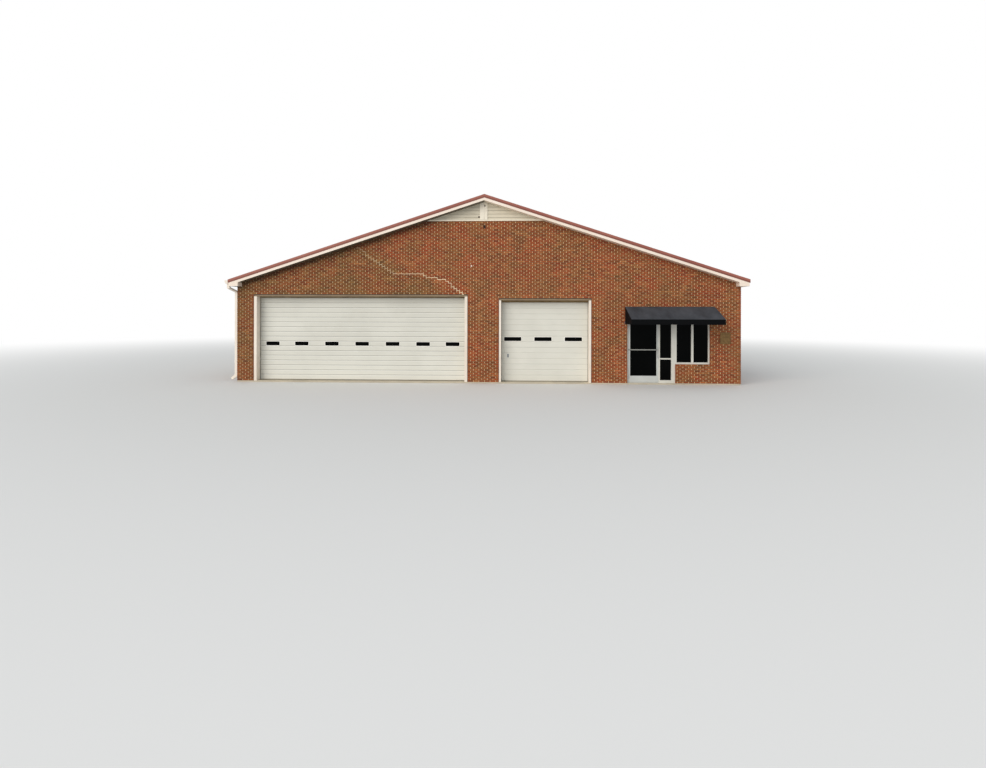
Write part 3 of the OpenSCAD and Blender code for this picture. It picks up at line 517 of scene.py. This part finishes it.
def block(low, high):
    """A block added at its place and size."""
    fresh()
    bpy.ops.mesh.primitive_cube_add(
        size=1, location=[(a + b) / 2 for a, b in zip(low, high)],
        scale=[b - a for a, b in zip(low, high)])
    return settled()


def disc(x, z, radius, y0, y1, sides=20):
    """A short cylinder on the front wall, between two depths."""
    fresh()
    bpy.ops.mesh.primitive_cylinder_add(
        vertices=sides, radius=radius, depth=y1 - y0, location=(x, (y0 + y1) / 2, z),
        rotation=(math.pi / 2, 0, 0))
    return settled()


def faces_picked(piece, wanted):
    """Edit mode with only the faces selected whose normal and middle pass a test."""
    if bpy.context.mode == "OBJECT":
        bpy.ops.object.mode_set(mode="EDIT")
    bpy.ops.mesh.select_mode(type="FACE")
    bpy.ops.mesh.select_all(action="DESELECT")
    bpy.ops.object.mode_set(mode="OBJECT")
    for face in piece.data.polygons:
        face.select = wanted(face.normal, face.center)
    bpy.ops.object.mode_set(mode="EDIT")


def facing(way):
    """A test for faces that look one way."""
    return lambda normal, middle: normal.dot(Vector(way)) > 0.9


def stepped(piece, rim, rise, taper=0.001, way=TO_FRONT):
    """Insets a piece's face, the front one as a rule, and raises or sinks what that leaves."""
    faces_picked(piece, facing(way))
    bpy.ops.mesh.inset(thickness=rim, depth=0)
    bpy.ops.mesh.inset(thickness=taper, depth=rise)
    bpy.ops.object.mode_set(mode="OBJECT")
    return piece


def as_one(pieces):
    """Several models as one object."""
    fresh()
    for piece in pieces:
        piece.select_set(True)
    bpy.context.view_layer.objects.active = pieces[0]
    bpy.ops.object.join()
    return pieces[0]


def finished(piece, name, finish, body="root"):
    """Names a model, gives it its finish, and sets it on a body."""
    piece.name = piece.data.name = name
    piece.data.materials.clear()
    piece.data.materials.append(finish)
    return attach(piece, body)


def shape_of(model):
    """A model's points and faces as arrays, and the model gone."""
    points = np.array([v.co for v in model.data.vertices])
    faces = [list(f.vertices) for f in model.data.polygons]
    bpy.data.objects.remove(model)
    return points, faces


def put_in(name, data):
    """An object in the scene that holds a mesh, a lamp or a lens."""
    held = bpy.data.objects.new(name, data)
    bpy.context.scene.collection.objects.link(held)
    return held


def joined(name, points, faces, finish, body="root"):
    """One piece from copies of a shape: points is copies by points by 3."""
    count, each = points.shape[:2]
    mesh = bpy.data.meshes.new(name)
    every = [[v + i * each for v in f] for i in range(count) for f in faces]
    mesh.from_pydata(points.reshape(-1, 3).tolist(), [], every)
    return finished(put_in(name, mesh), name, finish, body)


def stretched(points, low, high):
    """Copies of a block that reach from low to high, with its bevels as they are."""
    size = points.max(0)
    far = points[None] > size / 2
    return np.where(far, high[:, None] - (size - points)[None], low[:, None] + points[None])


def set_out(points, turn, places):
    """Copies of a model's points, turned and moved to places."""
    return (points @ np.array(turn.to_3x3()).T)[None] + np.array(places)[:, None]


def quarter_turned(points, turns):
    """Points drawn on the front wall, turned to another wall: 1 right, 2 back and 3 left."""
    c, s = [(1, 0), (0, 1), (-1, 0), (0, -1)][turns]
    turned = points.copy()
    turned[..., 0] = c * points[..., 0] - s * points[..., 1]
    turned[..., 1] = s * points[..., 0] + c * points[..., 1]
    return turned


# Brickwork

# A course this near a head or sill touches it. A brick that ends this near the end of its run
# fills up to it. Shorter and lower ones than the last are left out.
TOUCHING = 0.010
LONGEST_CLOSER = 0.012
THINNEST = 0.020


def brick_slip(size, edge):
    """A brick's outer part: a block with its low corner at the origin, its face bevelled."""
    slip = block((0, 0, 0), size)
    faces_picked(slip, facing(TO_FRONT))
    bpy.ops.mesh.bevel(offset=edge)
    bpy.ops.object.mode_set(mode="OBJECT")
    return slip


def solid_runs(low, high, cuts):
    """What a course keeps between openings: (start, end, start is a return, end is a return)."""
    runs, start, returned = [], low, False
    for cut in sorted(cuts):
        if cut.left > start + 1e-6:
            runs.append((start, cut.left, returned, cut.returned))
        start, returned = max(start, cut.right), cut.returned
    if start < high - 1e-6:
        runs.append((start, high, returned, False))
    return runs


def bricks_along(first, run):
    """The bricks of one run: (left end, right end, how far back it reaches)."""
    low, high, low_returned, high_returned = run
    k = math.floor((low - first) / BRICK + 1e-6)
    while first + k * BRICK < high - 1e-6:
        a, b = first + k * BRICK, first + (k + 1) * BRICK
        k += 1
        left, right, back = a + UPRIGHT_JOINT / 2, b - UPRIGHT_JOINT / 2, EMBED
        if a <= low + LONGEST_CLOSER:
            left = low - (LINING if low_returned else 0)
            back = RETURN if low_returned else back
        if b >= high - LONGEST_CLOSER:
            right = high + (LINING if high_returned else 0)
            back = RETURN if high_returned else back
        if right - left >= THINNEST:
            yield left, right, back


def brick_boxes(low, high, top, shift, openings, gable):
    """Each brick of a wall as its low and high corner, drawn on the front wall."""
    boxes = []
    for row in range(math.ceil((top - THINNEST - SLAB) / COURSE)):
        foot = SLAB + row * COURSE
        crown = min(foot + COURSE, top)
        first = -HALF - (BRICK / 2 if (row + shift) % 2 else 0)
        cuts = [o for o in openings if o.foot < (foot + crown) / 2 < o.head]
        sills = [o for o in openings if o.returned and abs(o.foot - crown) < TOUCHING]
        heads = [o for o in openings if o.returned and abs(o.head - foot) < TOUCHING]
        for run in solid_runs(low, high, cuts):
            for left, right, back in bricks_along(first, run):
                bottom, brick_top = foot + BED_JOINT / 2, crown - BED_JOINT / 2
                if any(o.left < right and o.right > left for o in sills):
                    brick_top, back = crown + LINING, RETURN
                if any(o.left < right and o.right > left for o in heads):
                    bottom, back = foot - LINING, RETURN
                near = min(abs(left), abs(right)) if left * right > 0 else 0
                if gable and bottom > wall_top(near) - THINNEST:
                    continue
                boxes.append((left, BRICK_FACE, bottom, right, FRONT + back, brick_top))
    return np.array(boxes)


SLIP_POINTS, SLIP_FACES = shape_of(brick_slip((0.19, 0.01, 0.058), 0.0022))


def lay_bricks(name, turns, boxes):
    """One wall's bricks as one piece, each with its own three draws for its colour."""
    points = stretched(SLIP_POINTS, boxes[:, :3], boxes[:, 3:])
    piece = joined(name, quarter_turned(points, turns), SLIP_FACES, brick)
    tones = np.ones((len(boxes), 4), np.float32)
    tones[:, :3] = rng.random((len(boxes), 3))
    tones[:, 0] = (tones[:, 0] + rng.random(len(boxes))) / 2
    layer = piece.data.attributes.new("brick_tone", "FLOAT_COLOR", "POINT")
    layer.data.foreach_set("color", np.repeat(tones, len(SLIP_POINTS), axis=0).ravel())


def window_pair(out):
    """Two windows whose middles are so far from the wall's middle."""
    return [Opening(u - 3 * BRICK, u + 3 * BRICK, SILL, HEAD, True) for u in (-out, out)]


SIDE_WINDOWS = window_pair(HALF - 4.2)
BACK_WINDOWS = window_pair(HALF - 4.6)
END = HALF + PROUD
side_boxes = brick_boxes(-HALF, HALF, EAVE_SOFFIT, 1, SIDE_WINDOWS, False)
front_openings = [LARGE_BAY, SMALL_BAY, ENTRY, FRONT_WINDOW]
lay_bricks("front_bricks", 0, brick_boxes(-END, END, SIDING_FOOT, 0, front_openings, True))
lay_bricks("right_bricks", 1, side_boxes)
lay_bricks("back_bricks", 2, brick_boxes(-END, END, SIDING_FOOT, 0, BACK_WINDOWS, True))
lay_bricks("left_bricks", 3, side_boxes)


# The mended crack: mortar smeared along the joints, from the left slope to the large bay's corner

CRACK = [(-4.725, 4.965), (-3.430, 4.085), (-3.282, 3.982), (-2.804, 3.960), (-2.253, 3.949),
         (-2.047, 3.817), (-1.802, 3.839), (-1.692, 3.748), (-1.513, 3.773), (-1.337, 3.671),
         (-1.070, 3.453), (-0.891, 3.319), (-0.759, 3.232)]

# How heavy the mortar lies along the crack: places from left to right, and shares of the heaviest
HEAVY_AT = (-4.7, -3.4, -3.1, -1.8)
HEAVY = (0.38, 0.46, 0.65, 0.9)


def smears(line, step, dabs=3):
    """Low and high corners of mortar strips that follow the nearest joints to a line."""
    xs, zs = zip(*line)
    strips, at, level = [], xs[0], None
    while at < xs[-1] - 0.005:
        to = min(FRONT + math.floor((at + HALF) / step + 1.001) * step, xs[-1])
        joint = round((np.interp((at + to) / 2, xs, zs) - SLAB) / COURSE)
        z = SLAB + joint * COURSE
        heavy = np.interp(at, HEAVY_AT, HEAVY)
        if level is not None and joint != level:
            wide = (0.009 + 0.006 * rng.random()) * heavy
            foot, head = sorted((z, SLAB + level * COURSE))
            strips.append((at - wide, foot - wide, at + wide, head + wide))
        for i in range(dabs):
            wide = (0.008 + 0.007 * rng.random()) * heavy
            mid = z + 0.004 * rng.uniform(-1, 1)
            a, b = at + (to - at) * i / dabs, at + (to - at) * (i + 1) / dabs
            strips.append((a - 0.004, mid - wide, b + 0.004, mid + wide))
        at, level = to, joint
    boxes = []
    for left, foot, right, head in strips:
        proud = 0.0012 + 0.0016 * rng.random()
        boxes.append((left, BRICK_FACE - proud, foot, right, FRONT + EMBED, head))
    return np.array(boxes)


patches = smears(CRACK, BRICK / 2)
joined("crack_patching", stretched(SLIP_POINTS, patches[:, :3], patches[:, 3:]), SLIP_FACES,
       patch_mortar)


# The bays' weather seals and sealant

# The seals' back, 3 mm off the doors' steel, how far a head and a side seal stand out from it,
# and how wide a side seal is
SEAL_BACK = DOOR_FACE - 0.003
HEAD_SEAL_OUT = 0.032
SIDE_SEAL_OUT = 0.024
SIDE_SEAL_WIDE = 0.011

head_seals, side_seals, sealant_beads = [], [], []
for bay, jamb, drop in ((LARGE_BAY, LARGE_JAMB, 0.040), (SMALL_BAY, SMALL_JAMB, 0.070)):
    left, right, top = bay.left + jamb, bay.right - jamb, bay.head - HEAD_LINER
    head_seals.append(stepped(
        block((left, SEAL_BACK - HEAD_SEAL_OUT, top - drop), (right, SEAL_BACK, top)),
        0.007, -0.006))
    for a, b in ((left, left + SIDE_SEAL_WIDE), (right - SIDE_SEAL_WIDE, right)):
        side_seals.append(stepped(
            block((a, SEAL_BACK - SIDE_SEAL_OUT, SLAB), (b, SEAL_BACK, top - drop)),
            0.002, -0.004))
    for a, b in ((bay.left - 0.002, bay.left + 0.018), (bay.right - 0.018, bay.right + 0.002)):
        sealant_beads.append(stepped(
            block((a, BRICK_FACE - 0.0095, SLAB), (b, BRICK_FACE + 0.001, bay.head)),
            0.004, 0.001))
finished(as_one(head_seals), "bay_head_seals", head_vinyl)
finished(as_one(side_seals), "bay_side_seals", dusty_rubber)
finished(as_one(sealant_beads), "bay_sealant", sealant)


# What time has left on the gable, and the plaque's screws

# A steel knockout plate's corners and the middles of two blanked cable holes and a cap, as (x, z)
KNOCKOUT = ((-0.048, 5.627), (0.026, 5.731))
LOWER_HOLE = (-0.212, 6.043)
UPPER_HOLE = (0.005, 6.441)
CAP = (-0.481, 4.264)

(left, foot), (right, head) = KNOCKOUT
finished(stepped(block((left, BRICK_FACE - 0.012, foot), (right, BRICK_FACE + 0.004, head)),
                 0.009, -0.007), "gable_wall_plate", rusty_plate)
finished(as_one([
    stepped(disc(*LOWER_HOLE, 0.030, FRONT - 0.008, FRONT + 0.012), 0.007, -0.008),
    stepped(disc(*UPPER_HOLE, 0.024, FRONT - 0.026, FRONT - 0.014), 0.006, -0.007)]),
    "gable_cable_holes", rusty_plate)
finished(stepped(disc(*CAP, 0.026, BRICK_FACE - 0.014, BRICK_FACE + 0.002),
                 0.006, 0.006, 0.006), "wall_cap", paint_white)

# Four round-headed screws, in the plaque's corners and on its face
PLAQUE_FACE = FRONT - 0.021
SCREW_XS = (8.4405, 8.7555)
SCREW_ZS = (1.485, 1.847)
points, faces = shape_of(stepped(disc(0, 0, 0.007, -0.004, 0.002, 12), 0.001, 0.002, 0.003))
corners = [(x, PLAQUE_FACE, z) for x in SCREW_XS for z in SCREW_ZS]
joined("plaque_screws", set_out(points, Matrix(), corners), faces, bronze)


# Rubber beads round every pane, from one ring stretched to each pane's own size

BEAD_WIDE = 0.007
BEAD_DEEP = 0.024


def square_ring(wide, deep, size=0.1):
    """A square ring: a block whose front and back are inset and bridged through."""
    ring = block((0, 0, 0), (size, deep, size))
    faces_picked(ring, lambda normal, middle: abs(normal.y) > 0.9)
    bpy.ops.mesh.inset(thickness=wide, depth=0)
    bpy.ops.mesh.bridge_edge_loops()
    bpy.ops.object.mode_set(mode="OBJECT")
    return ring


RING_POINTS, RING_FACES = shape_of(square_ring(BEAD_WIDE, BEAD_DEEP))


def pane_boxes(node):
    """The low and high corners of each separate pane in a CAD node."""
    work = bmesh.new()
    work.from_mesh(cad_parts[node].data)
    bmesh.ops.remove_doubles(work, verts=work.verts, dist=1e-5)
    rest, boxes = set(work.verts), []
    while rest:
        waiting = [rest.pop()]
        pane = [waiting[0].co.copy()]
        while waiting:
            for edge in waiting.pop().link_edges:
                for v in rest.intersection(edge.verts):
                    rest.remove(v)
                    waiting.append(v)
                    pane.append(v.co.copy())
        boxes.append((np.min(pane, axis=0), np.max(pane, axis=0)))
    work.free()
    return sorted(boxes, key=lambda box: tuple(box[0]))


def bead_panes(name, node, body="root"):
    """A bead round each pane of a node, half on each side of the glass."""
    rings = []
    for low, high in pane_boxes(node):
        turns = 1 if high[0] - low[0] < high[1] - low[1] else 0
        corners = quarter_turned(np.array((low, high)), -turns)
        low, high = corners.min(0), corners.max(0)
        middle = (low[1] + high[1]) / 2
        low[1], high[1] = middle - BEAD_DEEP / 2, middle + BEAD_DEEP / 2
        ring = stretched(RING_POINTS, low[None], high[None])[0]
        rings.append(quarter_turned(ring, turns))
    joined(name, np.array(rings), RING_FACES, rubber, body)


bead_panes("entry_door_glass_beads", "entry_door_glass", "entry_door")
bead_panes("sidelight_glass_beads", "entry_sidelight_glass")
bead_panes("window_glass_beads", "window_glass")


# The roof's screws and laps, placed by how far down a slope they are from the ridge

# The ridge's height, and how far above its plane the sheets' valleys and the trim's top lie
ROOF_RIDGE = 6.7812
SHEET_TOP = 0.003
TRIM_TOP = 0.0283

# The ribs, the screws beside each of them, and the screws in the ridge cap and the rake trim
RIB_YS = [-9.4107 + i * 0.30357 for i in range(63)]
BESIDE_RIB = 0.055
SCREW_ROWS = [0.45 + i * 0.6 for i in range(16)]
CAP_ROW = 0.115
TRIM_ROWS = [0.3 + i * 0.6 for i in range(16)]
TRIM_SCREW_YS = (-9.40, 9.40)

# Laps of the rake trim: how far down the slope, and the trim's outer face and depth
LAPS_DOWN = (3.05, 6.10)
TRIM_FACE = -9.474
TRIM_DEPTH = 0.128 * math.cos(TILT)


def on_slope(side, down, y, up):
    """A point of the roof: side is 1 for the right slope and -1 for the left."""
    return (side * (down * math.cos(TILT) + up * math.sin(TILT)), y,
            ROOF_RIDGE - down * math.sin(TILT) + up * math.cos(TILT))


def screw_head():
    """A hexagonal head on a round washer, standing on the origin."""
    fresh()
    bpy.ops.mesh.primitive_cylinder_add(vertices=8, radius=0.011, depth=0.002,
                                        location=(0, 0, 0.001))
    return stepped(settled(), 0.0045, 0.006, 0.0005, (0, 0, 1))


def roof_screws(name, side, points, faces):
    """One slope's screws: beside the ribs, through the ridge cap and along both rake trims."""
    places = [on_slope(side, down, y + BESIDE_RIB, SHEET_TOP)
              for down in SCREW_ROWS for y in RIB_YS[:-1]]
    places += [on_slope(side, CAP_ROW, y, TRIM_TOP) for y in RIB_YS[1:-1]]
    places += [on_slope(side, down, y, TRIM_TOP) for down in TRIM_ROWS for y in TRIM_SCREW_YS]
    turn = Matrix.Rotation(side * TILT, 4, "Y")
    joined(name, set_out(points, turn, places), faces, roof_steel)


points, faces = shape_of(screw_head())
roof_screws("roof_screws_left", -1, points, faces)
roof_screws("roof_screws_right", 1, points, faces)

# Laps where one length of rake trim slides over the next, front and back
points, faces = shape_of(stepped(
    block((-0.016, -0.0012, -TRIM_DEPTH), (0.016, 0.004, 0)), 0.003, 0.0006))
laps = []
for side in (-1, 1):
    turn = Matrix.Rotation(side * TILT, 4, "Y")
    places = [on_slope(side, down, TRIM_FACE, TRIM_TOP) for down in LAPS_DOWN]
    for turns in (0, 2):
        laps.append(quarter_turned(set_out(points, turn, places), turns))
joined("rake_trim_laps", np.concatenate(laps), faces, roof_steel)


# The gutter's straps and the downspout's bands

# A strap: its outer end, its hook's inner face, its inner end, half its width, its foot and top,
# and how long its hook is
STRAP_OUT = -9.4675
STRAP_HOOK = -9.4650
STRAP_IN = -9.3220
STRAP_HALF = 0.0125
STRAP_FOOT = 3.7212
STRAP_TOP = 3.7236
HOOK_LONG = 0.0122
STRAP_YS = [-9.15 + i * 0.61 for i in range(31)]

# The downspout's sides with a band round it, as (x, y), and the bands' feet and height
SPOUT_LOW = (-9.2725, -9.1015)
SPOUT_HIGH = (-9.1715, -9.0205)
BAND_FEET = (3.287, 0.243)
BAND_HIGH = 0.012


def gutter_strap():
    """A flat bar over the gutter, bent down over its lip at the outer end."""
    bar = block((STRAP_OUT, -STRAP_HALF, STRAP_FOOT), (STRAP_IN, STRAP_HALF, STRAP_TOP))
    bpy.ops.object.mode_set(mode="EDIT")
    bpy.ops.mesh.select_all(action="SELECT")
    bpy.ops.mesh.bisect(plane_co=(STRAP_HOOK, 0, 0), plane_no=(1, 0, 0))
    faces_picked(bar, lambda normal, middle: normal.z < -0.9 and middle.x < STRAP_HOOK)
    bpy.ops.mesh.extrude_region_move(TRANSFORM_OT_translate={"value": (0, 0, -HOOK_LONG)})
    bpy.ops.object.mode_set(mode="OBJECT")
    return bar


points, faces = shape_of(gutter_strap())
places = [(0, y, 0) for y in STRAP_YS]
joined("gutter_straps", set_out(points, Matrix(), places), faces, paint_white)

# Crimped bands where the downspout's lengths meet: the panes' ring, laid flat and half as deep
bands = stretched(RING_POINTS[:, [0, 2, 1]] * (1, 1, BAND_HIGH / BEAD_DEEP),
                  np.array([(*SPOUT_LOW, foot) for foot in BAND_FEET]),
                  np.array([(*SPOUT_HIGH, foot + BAND_HIGH) for foot in BAND_FEET]))
joined("downspout_bands", bands, [f[::-1] for f in RING_FACES], paint_white)


# The awning's canvas: one sheet from the wall over the front bar and down the valance, and an
# end on each side. A place on the sheet is x across it and s along it from the wall.

AWNING_X = (5.0558, 8.2262)
AWNING_TOP = 2.800
AWNING_OUT = 1.100
AWNING_DROP = 0.450
VALANCE = 0.180
RAFTERS = (5.0716, 6.1179, 7.1642, 8.2105)
SLOPE_LENGTH = math.hypot(AWNING_OUT, AWNING_DROP)
FOOT = SLOPE_LENGTH + VALANCE

# How far before and after the front bar the canvas bends, its sag between rafters, and the
# depth and length of the ripples at the valance's foot
BEND = 0.012
SAG = 0.011
RIPPLE = 0.0015
RIPPLE_LONG = 0.41

# Thickness of the cloth and of a hem's extra layer, and the hems' widths
CLOTH = 0.001
HEM_CLOTH = 0.0008
HEM = 0.022
WALL_HEM = 0.035
FOOT_HEM = 0.028


def canvas_points(xs, ss, lift):
    """Points of the canvas at places across it and along it from the wall, lifted off it."""
    x, s = np.meshgrid(xs, ss)
    down = np.array((-AWNING_OUT, -AWNING_DROP)) / SLOPE_LENGTH
    start = np.array((FRONT, AWNING_TOP))
    corner = start + SLOPE_LENGTH * down
    t = np.clip((s - SLOPE_LENGTH + BEND) / (2 * BEND), 0, 1)[..., None]
    first = start + np.minimum(s, SLOPE_LENGTH - BEND)[..., None] * down
    last = corner - np.maximum(s - SLOPE_LENGTH, BEND)[..., None] * np.array((0, 1))
    bent = (1 - t) ** 2 * first + 2 * t * (1 - t) * corner + t ** 2 * last
    normal = (1 - t) * np.array((down[1], -down[0])) + t * np.array((-1, 0))
    bay = np.clip(np.searchsorted(RAFTERS, x) - 1, 0, len(RAFTERS) - 2)
    across = (x - np.take(RAFTERS, bay)) / (RAFTERS[1] - RAFTERS[0])
    sag = np.sin(np.pi * np.clip(across, 0, 1)) ** 2
    sag = SAG * sag * np.sin(np.pi * np.clip(s / SLOPE_LENGTH, 0, 1))
    hang = np.clip((s - SLOPE_LENGTH) / VALANCE, 0, 1)
    ripple = RIPPLE * hang * (1 + np.sin(2 * np.pi * x / RIPPLE_LONG + 0.8 * np.sin(3 * x)))
    off = (lift - CLOTH - sag + ripple)[..., None] * normal
    return np.dstack((x, bent + off))


def end_points(x, side):
    """Points of an end sheet, from the wall forward and from its foot up to the slope.

    It ends 3 mm under the canvas and 2 mm behind it, and is pulled in 3 mm at its middle."""
    y, v = np.meshgrid(np.linspace(FRONT, FRONT - AWNING_OUT + 0.002, 28), np.linspace(0, 1, 16))
    foot = AWNING_TOP - AWNING_DROP - VALANCE
    top = AWNING_TOP + (y - FRONT) * AWNING_DROP / AWNING_OUT - 0.003
    pulled = 0.003 * np.sin(np.pi * (FRONT - y) / AWNING_OUT) * np.sin(np.pi * v)
    return np.dstack((x - side * pulled, y, foot + v * (top - foot)))


def canvas_sheet(name, grids, sky, thick, turned_over=False):
    """Cloth from grids of points, thickened inwards, with how far each point faces the sky."""
    points, faces, skyward = [], [], []
    for grid, share in zip(grids, sky):
        base, (rows, cols) = len(points), grid.shape[:2]
        points += grid.reshape(-1, 3).tolist()
        skyward += np.broadcast_to(share, (rows, cols)).ravel().tolist()
        for i in range(rows - 1):
            for j in range(cols - 1):
                a = base + i * cols + j
                quad = (a, a + cols, a + cols + 1, a + 1)
                faces.append(quad[::-1] if turned_over else quad)
    mesh = bpy.data.meshes.new(name)
    mesh.from_pydata(points, [], faces)
    mesh.attributes.new("faces_sky", "FLOAT", "POINT").data.foreach_set("value", skyward)
    piece = put_in(name, mesh)
    fresh()
    bpy.context.view_layer.objects.active = piece
    piece.select_set(True)
    solid = piece.modifiers.new("cloth", "SOLIDIFY")
    solid.thickness = thick
    solid.offset = -1
    bpy.ops.object.modifier_apply(modifier="cloth")
    bpy.ops.object.shade_smooth_by_angle(angle=math.radians(50))
    return finished(piece, name, canvas)


def sky_share(ss):
    """One on the slope and nothing down the valance."""
    return np.clip((SLOPE_LENGTH + 0.004 - np.array(ss)) / 0.012, 0, 1)[:, None]


ALONG = np.concatenate((np.linspace(0, SLOPE_LENGTH - BEND, 34),
                        SLOPE_LENGTH + BEND * np.array((-0.5, 0, 0.5)),
                        np.linspace(SLOPE_LENGTH + BEND, FOOT, 9)))
ACROSS = np.linspace(*AWNING_X, 121)
cover = canvas_sheet("awning_canvas", [canvas_points(ACROSS, ALONG, 0)], [sky_share(ALONG)], CLOTH)
left_end = canvas_sheet("awning_left_end", [end_points(AWNING_X[0], -1)], [0], CLOTH, True)
right_end = canvas_sheet("awning_right_end", [end_points(AWNING_X[1], 1)], [0], CLOTH)


def hem_strips():
    """The hems as (places across, places along, lift): seams and side hems, then cross hems."""
    for x in (RAFTERS[1], RAFTERS[2], AWNING_X[0] + HEM / 2, AWNING_X[1] - HEM / 2):
        yield np.linspace(x - HEM / 2, x + HEM / 2, 3), ALONG, 0.0009
    yield ACROSS, np.linspace(0, WALL_HEM, 4), 0.0016
    yield ACROSS, np.linspace(SLOPE_LENGTH - 2 * BEND, SLOPE_LENGTH - BEND, 3), 0.0016
    yield ACROSS, np.linspace(FOOT - FOOT_HEM, FOOT, 4), 0.0016


hems = canvas_sheet("awning_hems", [canvas_points(*strip) for strip in hem_strips()],
                    [sky_share(ss) for xs, ss, lift in hem_strips()], HEM_CLOTH)
for piece in (cover, left_end, right_end, hems):
    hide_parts("awning_cover")

# Plates that lag the awning's side bars to the wall, each with a bolt's head
PLATE_FOOT = 2.172
PLATE_HEAD = 2.262
BOLT = 2.236
lag_plates = []
for x in (RAFTERS[0], RAFTERS[-1]):
    lag_plates.append(stepped(
        block((x - 0.030, BRICK_FACE - 0.006, PLATE_FOOT), (x + 0.012, BRICK_FACE + 0.002, PLATE_HEAD)),
        0.004, 0.001))
    lag_plates.append(stepped(
        disc(x - 0.009, BOLT, 0.009, BRICK_FACE - 0.013, BRICK_FACE - 0.004, 6), 0.002, 0.001))
finished(as_one(lag_plates), "awning_wall_plates", zinc_tube)


# Soft edges on the CAD's trims and frames, as folded sheet and painted board have

for name in ("large_door_jambs", "small_door_jambs", "bay_door_heads", "gable_boards",
             "rake_fascia", "entry_frame", "entry_door_leaf", "window_frames", "plaque",
             "gutter_ends", "small_door_handle", "bay_door_window_frames"):
    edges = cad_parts[name].modifiers.new("soft_edges", "BEVEL")
    edges.width = 0.002
    edges.segments = 2
    edges.limit_method = "ANGLE"
    edges.angle_limit = math.radians(40)


# Light, floor and camera

# The world's strength on the building, and its tint there, as of a clear sky
SKY_STRENGTH = 0.62
SKY_TINT = (0.87, 0.945, 1.02, 1.0)
WHITE = (1.0, 1.0, 1.0, 1.0)

# The floor's radius, and the distances between which it fades to white
FLOOR_RADIUS = 220
FADE_FROM = 14.0
FADE_TO = 46.0

# The photograph's width, its focal length and how far down its frame is shifted, in pixels
PHOTO_WIDE = 986
FOCAL = 560
SHIFT = 69

# The camera: its place, how far it looks left and is rolled, in degrees, and its sensor in mm
CAMERA = (1.12, FRONT - 20.30, 2.485)
LOOKS_LEFT = 2.3
ROLLED = 0.13
SENSOR = 36


def white_surround():
    """A world that lights softly, and that the camera, mirrors and glass see as plain white."""
    world = bpy.data.worlds.new("surround")
    bpy.context.scene.world = world
    world.use_nodes = True
    tree = world.node_tree
    tree.nodes.clear()
    path = add(tree, "LightPath").outputs
    mirrored = add(tree, "Math", path["Is Glossy Ray"], path["Is Transmission Ray"],
                   operation="MAXIMUM")
    seen = add(tree, "Math", path["Is Camera Ray"], mirrored, operation="MAXIMUM")
    strength = add(tree, "Math", seen, 1 - SKY_STRENGTH, SKY_STRENGTH, operation="MULTIPLY_ADD")
    tint = add(tree, "Mix", seen, SKY_TINT, WHITE, data_type="RGBA")
    add(tree, "OutputWorld", add(tree, "Background", tint, strength))


def daylight():
    """One broad lamp from the front left."""
    lamp = bpy.data.lights.new("daylight", "SUN")
    lamp.energy = 1.82
    lamp.color = (1.0, 0.945, 0.88)
    lamp.angle = math.radians(50)
    aim = Vector((0.52, 0.67, -0.39))
    put_in("daylight", lamp).rotation_euler = aim.to_track_quat("-Z", "Y").to_euler()


def studio_floor():
    """A pale matt floor that keeps the building's shadow and fades to white far from it."""
    fresh()
    bpy.ops.mesh.primitive_circle_add(vertices=96, radius=FLOOR_RADIUS, fill_type="NGON",
                                      location=(0, 0, -0.002))
    floor = settled()
    floor.name = "floor"
    made, tree, at = surface("pale_studio_floor", "#e4e2de", 0.9, Specular_IOR_Level=0.1)
    distance = add(tree, "VectorMath", at, operation="LENGTH")
    fade = add(tree, "MapRange", distance, FADE_FROM, FADE_TO, interpolation_type="SMOOTHSTEP")
    seen = add(tree, "LightPath").outputs["Is Camera Ray"]
    share = add(tree, "Math", fade, seen, operation="MULTIPLY")
    white = add(tree, "Emission", WHITE, 1.0)
    both = add(tree, "MixShader", share, tree.nodes["Principled BSDF"], white)
    tree.links.new(flow(both), tree.nodes["Material Output"].inputs["Surface"])
    floor.data.materials.append(made)


def street_camera():
    """The photograph's view: level, from the street before the bays."""
    lens = bpy.data.cameras.new("street_view")
    lens.lens = FOCAL / PHOTO_WIDE * SENSOR
    lens.sensor_width = SENSOR
    lens.shift_y = -SHIFT / PHOTO_WIDE
    lens.clip_end = 600
    held = put_in("street_view", lens)
    held.matrix_world = (Matrix.Translation(CAMERA)
                         @ Matrix.Rotation(math.radians(LOOKS_LEFT), 4, "Z")
                         @ Matrix.Rotation(math.radians(90), 4, "X")
                         @ Matrix.Rotation(math.radians(ROLLED), 4, "Z"))
    bpy.context.scene.camera = held


bpy.context.scene.view_settings.view_transform = "Standard"
white_surround()
daylight()
studio_floor()
street_camera()

fresh()
